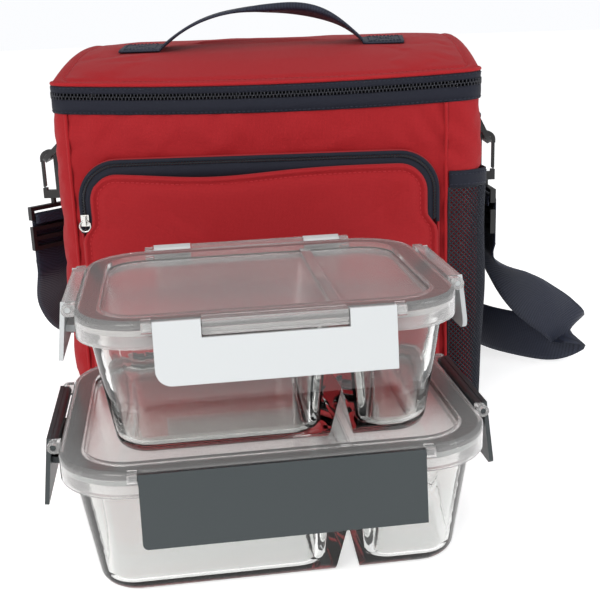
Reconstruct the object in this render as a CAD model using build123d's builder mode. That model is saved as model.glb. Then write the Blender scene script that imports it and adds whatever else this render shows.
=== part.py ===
"""Insulated lunch bag with two stacked glass food containers, each piece a solid of its own.

Frame: millimetres, +Z up, +X to the right and -Y to the front of the bag. The origin is the
middle of the bag's base, on the surface that it stands on.
"""
from math import cos, radians, sin, sqrt
import os

from build123d import *

os.makedirs("parts", exist_ok=True)

# ---- driving dimensions: the bag -------------------------------------------------------------
bag_width = 296.0
bag_depth = 200.0
bag_corner_radius = 15.0
mouth_height = 238.0            # top of the body, where the zipper starts
cover_thickness = 1.2
foam_thickness = 5.0
liner_thickness = 0.8
tape_thickness = 1.2            # navy tape sewn round the outside of the mouth and the lid
body_tape_height = 10.0
lid_tape_height = 6.0
tape_cap_height = 4.0           # tape folded over the top of the walls
tooth_height = 1.6
tooth_gap = 0.8                 # between the two rows of teeth
tooth_proud = 0.4               # teeth stand out beyond the tape
tooth_inset = 0.6
teeth_rear_stop = 70.0          # the rows end here, on both sides of the bag
crown_peak_y = 50.0             # the padded lid is highest behind its middle
crown_rise = 21.0
lid_edge_radius = 6.0
piping_radius = 1.3
piping_clearance = 0.05
piping_turn = 75.0              # degrees round each front corner
fold_thickness = 0.8            # fabric strip that the lid folds on

# ---- carrying handle -------------------------------------------------------------------------
handle_width = 30.0
handle_thickness = 2.2
handle_half_span = 75.5         # to the inner end of each sewn pad
handle_x = -3.5                 # middle of the handle on the lid
handle_y = -18.0
handle_pad_length = 30.0
handle_rise = 26.0
pad_overlap = 8.0               # sewn pad under the foot of the arch

# ---- main zipper slider ----------------------------------------------------------------------
slider_start_y = -62.0
slider_clearance = 0.2
slider_plate = 1.4
slider_length = 10.0
slider_height = 6.8
bail_height = 2.8
bail_wall = 1.1
pull_length = 26.0
pull_width = 6.0
pull_thickness = 1.2
pull_wire_radius = 0.7

# ---- front pocket ----------------------------------------------------------------------------
pocket_left = -132.0
pocket_right = 118.0
pocket_low = 6.0
pocket_top_drop = 42.0          # pocket's top below the mouth
pocket_corner_radius = 28.0
pocket_zip_end = 146.0
front_clearance = 0.1           # between the bag's front and what is sewn on it
pocket_gusset_depth = 6.5
pocket_cloth = 1.5
pocket_tape_depth = 1.5
pocket_tape_width = 2.6
pocket_tooth_width = 0.5
pocket_tooth_gap = 0.8
pocket_inner_tape_width = 4.1
pocket_panel_depth = 5.0        # from the tape's back to the panel's front
pocket_slider_rise = 9.0        # slider's middle above the lower end of the zipper
pocket_slider_length = 8.0
ring_radius = 3.8
ring_wire_radius = 0.6

# ---- mesh pocket on the right side -----------------------------------------------------------
mesh_bulge = 6.0
mesh_thickness = 0.8
mesh_corner_radius = 24.0
mesh_low = 3.0
mesh_high = 168.0
mesh_end_gap = 0.3              # from its two ends to the corner piping
binding_height = 12.0
binding_extra = 0.4

# ---- side hardware and shoulder strap --------------------------------------------------------
tab_y = -40.0
tab_width = 20.0
webbing_thickness = 1.4
webbing_width = 38.0
webbing_clearance = 0.25
ring_bar = 3.5
ring_inner_width = 23.0
ring_length = 20.8              # between the middles of its two bars
tab_offset = 4.0                # ring's upper bar out from the side of the bag
left_bar_drop = 33.0            # ring's upper bar below the mouth
left_ring_reach = 15.0          # how far the ring swings out from its tab
left_turn = 50.0                # how far the strap end is swivelled from facing the front
right_bar_drop = 26.0
right_ring_reach = 9.5
right_turn = 85.0
hook_bar = 3.0
hook_opening = 7.0
hook_thickness = 5.0
hook_opening_height = 24.0
hook_base = 6.0
gate_thickness = 2.0
gate_shoulder = 2.0
gate_clearance = 0.4
stem_radius = 2.0
stem_clearance = 0.2
stem_depth = 4.4
eye_drop = 4.0                  # from the hook's base to the eye
eye_bar = 3.0
eye_slot = 4.0
eye_thickness = 4.0
eye_side_clearance = 0.5
adjuster_height = 18.0
adjuster_thickness = 3.5
adjuster_gap = 1.5
strap_floor_clearance = 0.3
strap_drop = 40.0               # straight stretch below each adjuster
strap_back_gap = 8.0            # from the back of the bag to the strap behind it

# ---- food containers -------------------------------------------------------------------------
stack_x = -1.0
stack_y = -252.0
stack_turn = 8.0                # degrees
dish_height = 68.5
rim_height = 6.0
rim_lip = 4.0
foot_inset = 10.0
glass_wall = 3.5
glass_floor = 4.0
foot_edge_radius = 8.0
divider_drop = 2.0
divider_top = 8.0
divider_foot = 20.0
notch_width = 14.0
notch_height = 30.0
lid_clearance = 0.7
skirt_wall = 2.0
gasket_clearance = 0.2
gasket_height = 3.0
gasket_side_clearance = 0.3
plug_inset = 9.0
plug_wall = 2.2
seal_clearance = 0.4            # over the wall between the compartments
panel_thickness = 2.5
panel_sink = 4.0
lid_roof = 4.8                  # above the gasket
rib_width = 6.0
rib_height = 2.0
seal_rib_width = 5.0
lid_corner_round = 2.5
recess_inset = 11.0
hinge_standoff = 3.3
hinge_drop = 2.0                # hinge axis below the top of the lid
pin_radius = 1.5
pin_clearance = 0.25
pin_length = 4.4
ear_gap = 0.4
ear_width = 5.0
ear_height = 6.4
ear_sink = 0.7
barrel_radius = 2.6
latch_offset = 1.6
latch_thickness = 2.4
latch_lip = 3.0                 # plate above the hinge axis
latch_rest_angle = 7.0          # hanging free, short of the click
catch_reach = 7.1
catch_top = 12.6
catch_height = 3.6
catch_end = 12.0
notch_drop = 6.0
block_clearance = 0.5           # round the lid's block, also while the latch turns

# ---- derived sizes of the bag ----------------------------------------------------------------
half_width = bag_width / 2
pocket_high = mouth_height - pocket_top_drop
half_depth = bag_depth / 2
foam_inset = cover_thickness
liner_inset = foam_inset + foam_thickness
wall_thickness = liner_inset + liner_thickness
cover_top = mouth_height - tape_cap_height
lower_teeth_top = mouth_height + tooth_height
upper_teeth_low = lower_teeth_top + tooth_gap
lid_low = upper_teeth_low + tooth_height
lid_cover_low = lid_low + tape_cap_height - 1.0
lid_edge = lid_low + lid_tape_height
zip_level = lower_teeth_top + tooth_gap / 2
crown_reach = half_depth + crown_peak_y
crown_radius = (crown_reach ** 2 + crown_rise ** 2) / (2 * crown_rise)
crown_centre_z = lid_edge + crown_rise - crown_radius


def save(piece, name):
    """label one finished piece and write it"""
    piece.part.label = name
    export_step(piece.part, f"parts/{name}.step")


def plan(inset, mode=Mode.ADD):
    """outline of the bag seen from above, moved inwards by inset"""
    RectangleRounded(bag_width - 2 * inset, bag_depth - 2 * inset, bag_corner_radius - inset,
                     mode=mode)


def wall(outer, inner, low, high):
    """part of a wall of the bag between two insets and two heights"""
    with BuildSketch(Plane.XY.offset(low)) as outline:
        plan(outer)
        plan(inner, mode=Mode.SUBTRACT)
    extrude(outline.sketch, amount=high - low)


def tub(outer, thickness, low, high):
    """open tub: walls and a floor of one thickness"""
    with BuildSketch(Plane.XY.offset(low)) as outside:
        plan(outer)
    extrude(outside.sketch, amount=high - low)
    with BuildSketch(Plane.XY.offset(low + thickness)) as inside:
        plan(outer + thickness)
    extrude(inside.sketch, amount=high - low, mode=Mode.SUBTRACT)


# ---- bag body --------------------------------------------------------------------------------
with BuildPart() as body_cover:
    tub(0, cover_thickness, 0, cover_top)
save(body_cover, "body_cover")

with BuildPart() as body_foam:
    tub(foam_inset, foam_thickness, foam_inset, cover_top)
save(body_foam, "body_foam")

with BuildPart() as body_liner:
    tub(liner_inset, liner_thickness, liner_inset, cover_top)
save(body_liner, "body_liner")

with BuildPart() as mouth_tape:
    wall(-tape_thickness, 0, mouth_height - body_tape_height, cover_top)
    wall(-tape_thickness, wall_thickness, cover_top, mouth_height)
save(mouth_tape, "mouth_tape")


def tooth_row(low):
    """one row of teeth round the front and both sides"""
    wall(-tape_thickness - tooth_proud, tooth_inset, low, low + tooth_height)
    with BuildSketch(Plane.XY.offset(low)) as rear:
        with Locations((0, teeth_rear_stop)):
            Rectangle(2 * bag_width, bag_depth, align=(Align.CENTER, Align.MIN))
    extrude(rear.sketch, amount=tooth_height, mode=Mode.SUBTRACT)


with BuildPart() as body_teeth:
    tooth_row(mouth_height)
save(body_teeth, "body_teeth")

# the strip is sewn to the body; the lid folds along its upper edge
with BuildPart() as lid_fold_strip:
    with BuildSketch(Plane.XZ.offset(-half_depth - tape_thickness)):
        with Locations((0, mouth_height - body_tape_height + 1)):
            Rectangle(bag_width - 3 * bag_corner_radius, body_tape_height + 0.8,
                      align=(Align.CENTER, Align.MIN))
    extrude(amount=-fold_thickness)
save(lid_fold_strip, "lid_fold_strip")

piping_reach = bag_corner_radius + piping_radius + piping_clearance
piping_x = half_width - bag_corner_radius + piping_reach * cos(radians(piping_turn))
piping_y = bag_corner_radius - half_depth - piping_reach * sin(radians(piping_turn))
for side, name in ((-1, "left"), (1, "right")):
    with BuildPart() as corner_piping:
        with BuildSketch(Plane.XY.offset(pocket_low)):
            with Locations((side * piping_x, piping_y)):
                Circle(piping_radius)
        extrude(amount=mouth_height - body_tape_height - pocket_low)
    save(corner_piping, f"corner_piping_{name}")


# ---- lid of the bag --------------------------------------------------------------------------
def lid_blank(inset):
    """block that fills the lid up to its crowned top, moved inwards by inset"""
    with BuildPart() as blank:
        with BuildSketch(Plane.XY.offset(lid_cover_low)):
            plan(inset)
        extrude(amount=2 * crown_rise)
        with BuildSketch(Plane.YZ):
            with Locations((crown_peak_y, crown_centre_z)):
                Circle(crown_radius - inset)
        extrude(amount=bag_width, both=True, mode=Mode.INTERSECT)
        if lid_edge_radius > inset + 1:
            top = blank.faces().sort_by(Axis.Z)[-1]
            fillet(top.edges(), radius=lid_edge_radius - inset)
    return blank.part


crown_blank = lid_blank(0)
foam_blank = lid_blank(foam_inset)
liner_blank = lid_blank(liner_inset)
inside_blank = lid_blank(wall_thickness)

with BuildPart() as lid_cover:
    add(crown_blank)
    add(foam_blank, mode=Mode.SUBTRACT)
save(lid_cover, "lid_cover")

with BuildPart() as lid_foam:
    add(foam_blank)
    add(liner_blank, mode=Mode.SUBTRACT)
save(lid_foam, "lid_foam")

with BuildPart() as lid_liner:
    add(liner_blank)
    add(inside_blank, mode=Mode.SUBTRACT)
save(lid_liner, "lid_liner")

with BuildPart() as lid_tape:
    wall(-tape_thickness, wall_thickness, lid_low, lid_cover_low)
    wall(-tape_thickness, 0, lid_cover_low, lid_edge - piping_radius)
save(lid_tape, "lid_tape")

with BuildPart() as lid_teeth:
    tooth_row(upper_teeth_low)
save(lid_teeth, "lid_teeth")

with BuildPart() as lid_piping:
    wall(-tape_thickness, 0, lid_edge - piping_radius, lid_edge + piping_radius)
    fillet(lid_piping.edges().group_by(Axis.Z)[-1], radius=tape_thickness / 2 - 0.05)
save(lid_piping, "lid_piping")


# ---- carrying handle: one strap, its ends sewn flat to the lid ------------------------------
def crown_height(y):
    """height of the lid's crown at a distance y from the middle"""
    return crown_centre_z + sqrt(crown_radius ** 2 - (y - crown_peak_y) ** 2)


arch_foot = crown_height(handle_y + handle_width / 2) + 0.1
arch_radius = (handle_half_span ** 2 + handle_rise ** 2) / (2 * handle_rise)
arch_centre = arch_foot + handle_rise - arch_radius
with BuildPart() as handle_pads:
    with BuildSketch(Plane.YZ.offset(handle_x)):
        with Locations((crown_peak_y, crown_centre_z)):
            Circle(crown_radius + handle_thickness)
            Circle(crown_radius, mode=Mode.SUBTRACT)
    extrude(amount=handle_half_span + handle_pad_length, both=True)
    with BuildSketch(Plane.XY.offset(lid_edge)):
        for side in (-1, 1):
            with Locations((handle_x + side * (handle_half_span + (handle_pad_length - pad_overlap) / 2),
                            handle_y)):
                Rectangle(handle_pad_length + pad_overlap, handle_width)
    extrude(amount=2 * crown_rise, mode=Mode.INTERSECT)

with BuildPart() as carry_handle:
    with BuildSketch(Plane.XZ.offset(-handle_y)):
        with Locations((handle_x, arch_centre)):
            Circle(arch_radius)
            Circle(arch_radius - handle_thickness, mode=Mode.SUBTRACT)
        with Locations((handle_x, arch_foot)):
            Rectangle(2 * (handle_half_span + 2), 2 * handle_rise,
                      align=(Align.CENTER, Align.MIN), mode=Mode.INTERSECT)
    extrude(amount=handle_width / 2, both=True)
    add(handle_pads.part)
save(carry_handle, "carry_handle")

# ---- main zipper slider and its pull, on the straight run of the left side -----------------
tooth_face = tape_thickness + tooth_proud
plate_face = tooth_face + slider_clearance
bail_base = plate_face + slider_plate
slot_depth = bail_height - bail_wall


def side_box(side, low_out, high_out, y, length, low, high, mode=Mode.ADD):
    """block beside the bag, between two distances out from its side face"""
    middle = (low_out + high_out) / 2
    with BuildSketch(Plane.XY.offset(low)) as outline:
        with Locations((side * (half_width + middle), y)):
            Rectangle(high_out - low_out, length)
    extrude(outline.sketch, amount=high - low, mode=mode)


with BuildPart() as main_slider:
    side_box(-1, plate_face, bail_base, slider_start_y, slider_length,
             zip_level - slider_height / 2, zip_level + slider_height / 2)
    side_box(-1, -tooth_inset - slider_clearance - 1, -tooth_inset - slider_clearance,
             slider_start_y, slider_length - 2,
             mouth_height + slider_clearance, lid_low - slider_clearance)
    side_box(-1, -tooth_inset - slider_clearance, plate_face, slider_start_y, 4,
             zip_level - tooth_gap / 4, zip_level + tooth_gap / 4)
    side_box(-1, bail_base, bail_base + bail_height, slider_start_y, 8.4,
             zip_level - 1, zip_level + 1)
    side_box(-1, bail_base, bail_base + slot_depth, slider_start_y, 8.4 - 2 * bail_wall - 0.6,
             zip_level - 1, zip_level + 1, mode=Mode.SUBTRACT)
save(main_slider, "main_slider")

pull_out = bail_base + slot_depth / 2
with BuildPart() as main_pull:
    with BuildSketch(Plane.XY.offset(zip_level - 2.2)):
        with Locations((-half_width - pull_out, slider_start_y)):
            Circle(pull_wire_radius)
    extrude(amount=4.4)
    for low in (zip_level - 2.2, zip_level + 1.3):
        side_box(-1, pull_out - pull_wire_radius, pull_out + pull_wire_radius,
                 slider_start_y + 3.5, 7, low, low + 0.9)
    side_box(-1, pull_out - pull_wire_radius, pull_out - pull_wire_radius + pull_thickness,
             slider_start_y + 6 + (pull_length - 6) / 2, pull_length - 6,
             zip_level - pull_width / 2, zip_level + pull_width / 2)
save(main_pull, "main_pull")

# ---- front pocket ----------------------------------------------------------------------------
pocket_width = pocket_right - pocket_left
pocket_middle = (pocket_left + pocket_right) / 2
outer_teeth_inset = pocket_tape_width
outer_teeth_end = outer_teeth_inset + pocket_tooth_width
inner_teeth_inset = outer_teeth_end + pocket_tooth_gap
inner_teeth_end = inner_teeth_inset + pocket_tooth_width
panel_inset = inner_teeth_end + pocket_inner_tape_width
tape_back = pocket_gusset_depth
tape_front = tape_back + pocket_tape_depth
panel_front = tape_back + pocket_panel_depth


def front_plane(distance):
    """upright plane in front of the bag's front face"""
    return Plane.XZ.offset(half_depth + front_clearance + distance)


def pocket_outline(inset, low, mode=Mode.ADD):
    """rounded-top outline of the pocket above a height, moved inwards by inset"""
    with Locations((pocket_middle, low)):
        RectangleRounded(pocket_width - 2 * inset, 2 * (pocket_high - inset - low),
                         pocket_corner_radius - inset, mode=mode)


def keep_above(low):
    """leave only what stands above a height"""
    with Locations((pocket_middle, low)):
        Rectangle(2 * pocket_width, 2 * pocket_high, align=(Align.CENTER, Align.MIN),
                  mode=Mode.INTERSECT)


def pocket_band(outer, inner, low, back, front):
    """arched band between two insets and two distances from the bag"""
    with BuildSketch(front_plane(back)) as band:
        pocket_outline(outer, low)
        pocket_outline(inner, low, mode=Mode.SUBTRACT)
        keep_above(low)
    extrude(band.sketch, amount=front - back)


with BuildPart() as pocket_gusset:
    pocket_band(0, pocket_cloth, pocket_low, 0, tape_back)
    with BuildSketch(front_plane(0)):
        with Locations((pocket_middle, pocket_low)):
            Rectangle(pocket_width, pocket_cloth, align=(Align.CENTER, Align.MIN))
    extrude(amount=tape_back)
save(pocket_gusset, "pocket_gusset")

for name, outer, inner in (
    ("pocket_outer_tape", 0, outer_teeth_inset),
    ("pocket_outer_teeth", outer_teeth_inset, outer_teeth_end),
    ("pocket_inner_teeth", inner_teeth_inset, inner_teeth_end),
    ("pocket_inner_tape", inner_teeth_end, panel_inset),
):
    with BuildPart() as pocket_strip:
        pocket_band(outer, inner, pocket_zip_end, tape_back, tape_front)
    save(pocket_strip, name)

with BuildPart() as pocket_panel:
    with BuildSketch(front_plane(panel_front - pocket_cloth)):
        pocket_outline(panel_inset, pocket_low)
        keep_above(pocket_low)
    extrude(amount=pocket_cloth)
    pocket_band(panel_inset, panel_inset + pocket_cloth, pocket_low, tape_back,
                panel_front - pocket_cloth)
    with BuildSketch(front_plane(tape_back)):
        with Locations((pocket_middle, pocket_low)):
            Rectangle(pocket_width - 2 * panel_inset, pocket_cloth,
                      align=(Align.CENTER, Align.MIN))
    extrude(amount=pocket_panel_depth - pocket_cloth)
    with BuildSketch(front_plane(tape_back)):
        pocket_outline(0, pocket_low)
        with Locations((pocket_middle, pocket_zip_end)):
            Rectangle(2 * pocket_width, pocket_high, align=(Align.CENTER, Align.MIN),
                      mode=Mode.SUBTRACT)
        pocket_outline(panel_inset, pocket_low, mode=Mode.SUBTRACT)
        keep_above(pocket_low)
    extrude(amount=pocket_tape_depth)
    front_edges = pocket_panel.faces().sort_by(Axis.Y)[0].edges()
    fillet(front_edges, radius=pocket_cloth * 0.8)
save(pocket_panel, "pocket_panel")

slider_x = pocket_left + (outer_teeth_end + inner_teeth_inset) / 2
slider_z = pocket_zip_end + pocket_slider_rise


def front_box(x, width, z, height, back, front, mode=Mode.ADD):
    """block in front of the bag, between two distances from its front face"""
    with BuildSketch(front_plane(back)) as outline:
        with Locations((x, z)):
            Rectangle(width, height)
    extrude(outline.sketch, amount=front - back, mode=mode)


pocket_plate_back = tape_front + slider_clearance
pocket_bail_base = pocket_plate_back + 1.2
with BuildPart() as pocket_slider:
    front_box(slider_x, 5.6, slider_z, pocket_slider_length, pocket_plate_back,
              pocket_bail_base)
    front_box(slider_x, 3, slider_z, pocket_slider_length - 2,
              tape_back - slider_clearance - 1, tape_back - slider_clearance)
    front_box(slider_x, pocket_tooth_gap / 2, slider_z, 3,
              tape_back - slider_clearance, pocket_plate_back)
    front_box(slider_x, 1.8, slider_z, 6.8, pocket_bail_base, pocket_bail_base + 2.6)
    front_box(slider_x, 1.8, slider_z, 4.4, pocket_bail_base, pocket_bail_base + 1.7,
              mode=Mode.SUBTRACT)
save(pocket_slider, "pocket_slider")

with BuildPart() as pocket_ring:
    with BuildSketch(Plane(origin=(slider_x, -half_depth - front_clearance
                                   - pocket_bail_base - 0.85, slider_z - ring_radius),
                           x_dir=(0, 0, 1), z_dir=(-1, 0, 0))):
        with Locations((ring_radius, 0)):
            Circle(ring_wire_radius)
    revolve(axis=Axis((slider_x, 0, slider_z - ring_radius), (0, 1, 0)), revolution_arc=360)
save(pocket_ring, "pocket_ring")

# ---- mesh pocket, open at the top -----------------------------------------------------------
mesh_start = piping_x + piping_radius + mesh_end_gap


def mesh_outline(extra, mode=Mode.ADD):
    """bulging outline of the side pocket seen from above, moved outwards by extra"""
    RectangleRounded(bag_width + 2 * (mesh_bulge + extra), bag_depth + 2 * (1 + extra),
                     mesh_corner_radius + extra, mode=mode)


def mesh_band(inner_extra, outer_extra, low, high):
    """part of the mesh pocket's wall, clear of the bag itself"""
    with BuildSketch(Plane.XY.offset(low)) as band:
        mesh_outline(outer_extra)
        mesh_outline(inner_extra, mode=Mode.SUBTRACT)
        plan(-front_clearance, mode=Mode.SUBTRACT)
        with Locations((mesh_start, 0)):
            Rectangle(bag_width, 2 * bag_depth, align=(Align.MIN, Align.CENTER),
                      mode=Mode.INTERSECT)
    extrude(band.sketch, amount=high - low)


with BuildPart() as mesh_pocket:
    mesh_band(-mesh_thickness, 0, mesh_low, mesh_high)
    with BuildSketch(Plane.XY.offset(mesh_low)):
        mesh_outline(-mesh_thickness / 2)
        plan(-front_clearance, mode=Mode.SUBTRACT)
        with Locations((mesh_start, 0)):
            Rectangle(bag_width, 2 * bag_depth, align=(Align.MIN, Align.CENTER),
                      mode=Mode.INTERSECT)
    extrude(amount=mesh_thickness)
save(mesh_pocket, "mesh_pocket")

with BuildPart() as mesh_binding:
    mesh_band(-mesh_thickness - 0.1, binding_extra, mesh_high, mesh_high + binding_height)
save(mesh_binding, "mesh_binding")

# ---- side tabs, rings, snap hooks and strap adjusters ---------------------------------------
ring_clear = ring_bar * 0.75 + 0.1
hook_half = hook_opening / 2 + hook_bar
gate_out = hook_opening / 2 + gate_thickness / 2 + 0.6
eye_height = 2 * eye_bar + eye_slot
eye_width = webbing_width + 2 * eye_side_clearance + 2 * eye_bar
loop_half = eye_thickness / 2 + webbing_clearance + webbing_thickness


class SideSet:
    """places of what hangs on one side, worked out downwards from its tab"""

    def __init__(self, name, side, bar_drop, ring_reach, turn):
        self.name = name
        self.side = side
        self.bar_height = mouth_height - bar_drop
        self.ring_reach = ring_reach
        self.turn = radians(-turn)
        self.x = side * (half_width + tab_offset + ring_reach)
        self.ring_drop = sqrt(ring_length ** 2 - ring_reach ** 2)
        self.arc_height = self.bar_height - self.ring_drop - 0.3
        self.hook_low = self.arc_height - hook_opening_height - hook_base
        self.gate_foot = self.hook_low + hook_base + gate_shoulder
        self.gate_pivot = self.gate_foot + gate_clearance + gate_thickness / 2
        self.gate_tip = self.arc_height - 2.6
        self.eye_high = self.hook_low - eye_drop
        self.eye_low = self.eye_high - eye_height
        adjuster_high = self.eye_low - webbing_thickness - webbing_clearance - adjuster_gap - 2
        self.adjuster_low = adjuster_high - adjuster_height
        self.strap_high = self.adjuster_low - webbing_width / 2 - 2

    def strap_plane(self):
        """upright plane of the strap's end, its x along the webbing's width"""
        across = (cos(self.turn), self.side * sin(self.turn), 0)
        facing = (self.side * sin(self.turn), -cos(self.turn), 0)
        return Plane(origin=(self.x, tab_y, 0), x_dir=across, z_dir=facing)


left_set = SideSet("left", -1, left_bar_drop, left_ring_reach, left_turn)
right_set = SideSet("right", 1, right_bar_drop, right_ring_reach, right_turn)

for hung in (left_set, right_set):
    side = hung.side
    tab_reach = tab_offset + ring_clear
    with BuildPart() as side_tab:
        side_box(side, 0.1, tab_reach + webbing_thickness, tab_y, tab_width,
                 hung.bar_height - ring_clear - webbing_thickness,
                 hung.bar_height + ring_clear + webbing_thickness)
        side_box(side, 0.1 + webbing_thickness, tab_reach, tab_y, tab_width,
                 hung.bar_height - ring_clear, hung.bar_height + ring_clear, mode=Mode.SUBTRACT)
        side_box(side, 0.1, 0.1 + webbing_thickness, tab_y, tab_width,
                 hung.bar_height + ring_clear + webbing_thickness,
                 mouth_height - body_tape_height)
    save(side_tab, f"side_tab_{hung.name}")

    with BuildPart() as strap_ring:
        ring_plane = Plane(origin=(side * (half_width + tab_offset), tab_y, hung.bar_height),
                           x_dir=(0, 1, 0), z_dir=(-hung.ring_drop, 0, -side * hung.ring_reach))
        with BuildSketch(ring_plane):
            with Locations((0, ring_length / 2)):
                RectangleRounded(ring_inner_width + 2 * ring_bar, ring_length + ring_bar, 6)
                RectangleRounded(ring_inner_width, ring_length - ring_bar, 3,
                                 mode=Mode.SUBTRACT)
        extrude(amount=ring_bar / 2, both=True)
    save(strap_ring, f"strap_ring_{hung.name}")

    with BuildPart() as snap_hook:
        with BuildSketch(Plane.XZ.offset(-tab_y)):
            with Locations((hung.x, hung.arc_height)):
                Circle(hook_half)
                Rectangle(2 * hook_half, hung.arc_height - hung.hook_low,
                          align=(Align.CENTER, Align.MAX))
                Circle(hook_opening / 2, mode=Mode.SUBTRACT)
                Rectangle(hook_opening, hook_opening_height, align=(Align.CENTER, Align.MAX),
                          mode=Mode.SUBTRACT)
            with Locations((hung.x + side * hook_half, (hung.gate_foot + hung.gate_tip) / 2)):
                Rectangle(2 * hook_bar, hung.gate_tip + gate_clearance - hung.gate_foot,
                          align=(Align.CENTER, Align.CENTER), mode=Mode.SUBTRACT)
        extrude(amount=hook_thickness / 2, both=True)
        with BuildSketch(Plane.XY.offset(hung.hook_low)):
            with Locations((hung.x, tab_y)):
                Circle(stem_radius + stem_clearance)
        extrude(amount=stem_depth + stem_clearance, mode=Mode.SUBTRACT)
    save(snap_hook, f"snap_hook_{hung.name}")

    with BuildPart() as hook_gate:
        with BuildSketch(Plane.XZ.offset(-tab_y)):
            with Locations((hung.x + side * gate_out, hung.gate_pivot)):
                Circle(gate_thickness / 2)
                Rectangle(gate_thickness, hung.gate_tip - hung.gate_pivot,
                          align=(Align.CENTER, Align.MIN))
        extrude(amount=hook_thickness / 2 - 0.5, both=True)
    save(hook_gate, f"hook_gate_{hung.name}")

    with BuildPart() as swivel_eye:
        with BuildSketch(hung.strap_plane()):
            with Locations((0, hung.eye_low)):
                Rectangle(eye_width, eye_height, align=(Align.CENTER, Align.MIN))
            with Locations((0, hung.eye_low + eye_bar)):
                Rectangle(eye_width - 2 * eye_bar, eye_slot, align=(Align.CENTER, Align.MIN),
                          mode=Mode.SUBTRACT)
        extrude(amount=eye_thickness / 2, both=True)
        with BuildSketch(Plane.XY.offset(hung.eye_high - 0.5)):
            with Locations((hung.x, tab_y)):
                Circle(stem_radius)
        extrude(amount=hung.hook_low + stem_depth - hung.eye_high + 0.5)
    save(swivel_eye, f"swivel_eye_{hung.name}")

    with BuildPart() as strap_adjuster:
        slot_height = (adjuster_height - 3 * eye_bar) / 2
        low = hung.adjuster_low
        with BuildSketch(hung.strap_plane()):
            with Locations((0, low)):
                Rectangle(eye_width, adjuster_height, align=(Align.CENTER, Align.MIN))
            for slot_low in (low + eye_bar, low + 2 * eye_bar + slot_height):
                with Locations((0, slot_low)):
                    Rectangle(webbing_width + 2 * eye_side_clearance, slot_height,
                              align=(Align.CENTER, Align.MIN), mode=Mode.SUBTRACT)
        extrude(amount=adjuster_thickness / 2, both=True)
    save(strap_adjuster, f"strap_adjuster_{hung.name}")

# ---- shoulder strap: flat webbing from one hook round the back to the other ----------------


def strap_end(hung):
    """loop through the eye and the straight stretch behind the adjuster"""
    plane = hung.strap_plane()
    loop_high = hung.eye_low + eye_bar + webbing_clearance + webbing_thickness
    loop_low = hung.eye_low - webbing_clearance - webbing_thickness
    with BuildSketch(plane.offset(-loop_half)) as outside:
        with Locations((0, loop_low)):
            Rectangle(webbing_width, loop_high - loop_low, align=(Align.CENTER, Align.MIN))
    extrude(outside.sketch, amount=2 * loop_half)
    with BuildSketch(plane.offset(webbing_thickness - loop_half)) as hollow:
        with Locations((0, loop_low + webbing_thickness)):
            Rectangle(webbing_width, loop_high - loop_low - 2 * webbing_thickness,
                      align=(Align.CENTER, Align.MIN))
    extrude(hollow.sketch, amount=2 * (loop_half - webbing_thickness), mode=Mode.SUBTRACT)
    with BuildSketch(plane.offset(-loop_half)) as drop:
        with Locations((0, hung.adjuster_low - strap_drop)):
            Rectangle(webbing_width, loop_high - hung.adjuster_low + strap_drop,
                      align=(Align.CENTER, Align.MIN))
    extrude(drop.sketch, amount=webbing_thickness)


def strap_run(start, end):
    """upright band between two points (x, y, height of its middle)"""
    along = Vector(end[0] - start[0], end[1] - start[1], 0)
    plane = Plane(origin=(start[0], start[1], 0), x_dir=along,
                  z_dir=along.cross(Vector(0, 0, 1)))
    half = webbing_width / 2
    with BuildSketch(plane) as band:
        with BuildLine():
            Polyline((0, start[2] - half), (along.length, end[2] - half),
                     (along.length, end[2] + half), (0, start[2] + half), close=True)
        make_face()
    extrude(band.sketch, amount=webbing_thickness / 2, both=True)


strap_floor = webbing_width / 2 + strap_floor_clearance
strap_back = half_depth + strap_back_gap
strap_route = (
    (left_set.x, tab_y, left_set.strap_high),
    (-half_width - 28, tab_y + 20, left_set.strap_high - 18),
    (-half_width - 30, tab_y + 50, left_set.strap_high - 44),
    (-half_width - 22, tab_y + 92, strap_floor + 26),
    (-half_width - 9, strap_back - 22, strap_floor + 6),
    (14 - half_width, strap_back, strap_floor),
    (half_width - 8, strap_back, strap_floor),
    (half_width + 10, strap_back - 18, strap_floor),
    (half_width + 24, strap_back - 50, strap_floor),
    (half_width + 40, strap_back - 74, strap_floor),
    (half_width + 76, strap_back - 104, strap_floor),
    (half_width + 94, strap_back - 104, strap_floor + 5),
    (half_width + 80, strap_back - 108, strap_floor + 18),
    (half_width + 56, strap_back - 118, strap_floor + 38),
    (half_width + 32, strap_back - 132, right_set.strap_high - 14),
    (right_set.x, tab_y, right_set.strap_high),
)
with BuildPart() as shoulder_strap:
    strap_end(left_set)
    strap_end(right_set)
    for start, end in zip(strap_route, strap_route[1:]):
        strap_run(start, end)
save(shoulder_strap, "shoulder_strap")


# ---- food containers: glass dish, sealing lid and four latches each -------------------------
stack = Plane(origin=(stack_x, stack_y, 0),
              x_dir=(cos(radians(stack_turn)), sin(radians(stack_turn)), 0), z_dir=(0, 0, 1))
panel_top = dish_height + gasket_clearance + gasket_height + lid_roof - panel_sink
lid_top = panel_top + panel_sink
groove_top = dish_height + gasket_clearance + gasket_height
skirt_low = dish_height - rim_height
plug_low = dish_height - divider_drop + seal_clearance
axis_height = lid_top - hinge_drop
skirt_offset = lid_clearance + skirt_wall
notch_radius = sqrt(latch_offset ** 2 + notch_drop ** 2)
block_drop = sqrt((notch_radius - block_clearance) ** 2 - (ear_height / 2) ** 2)


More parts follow.
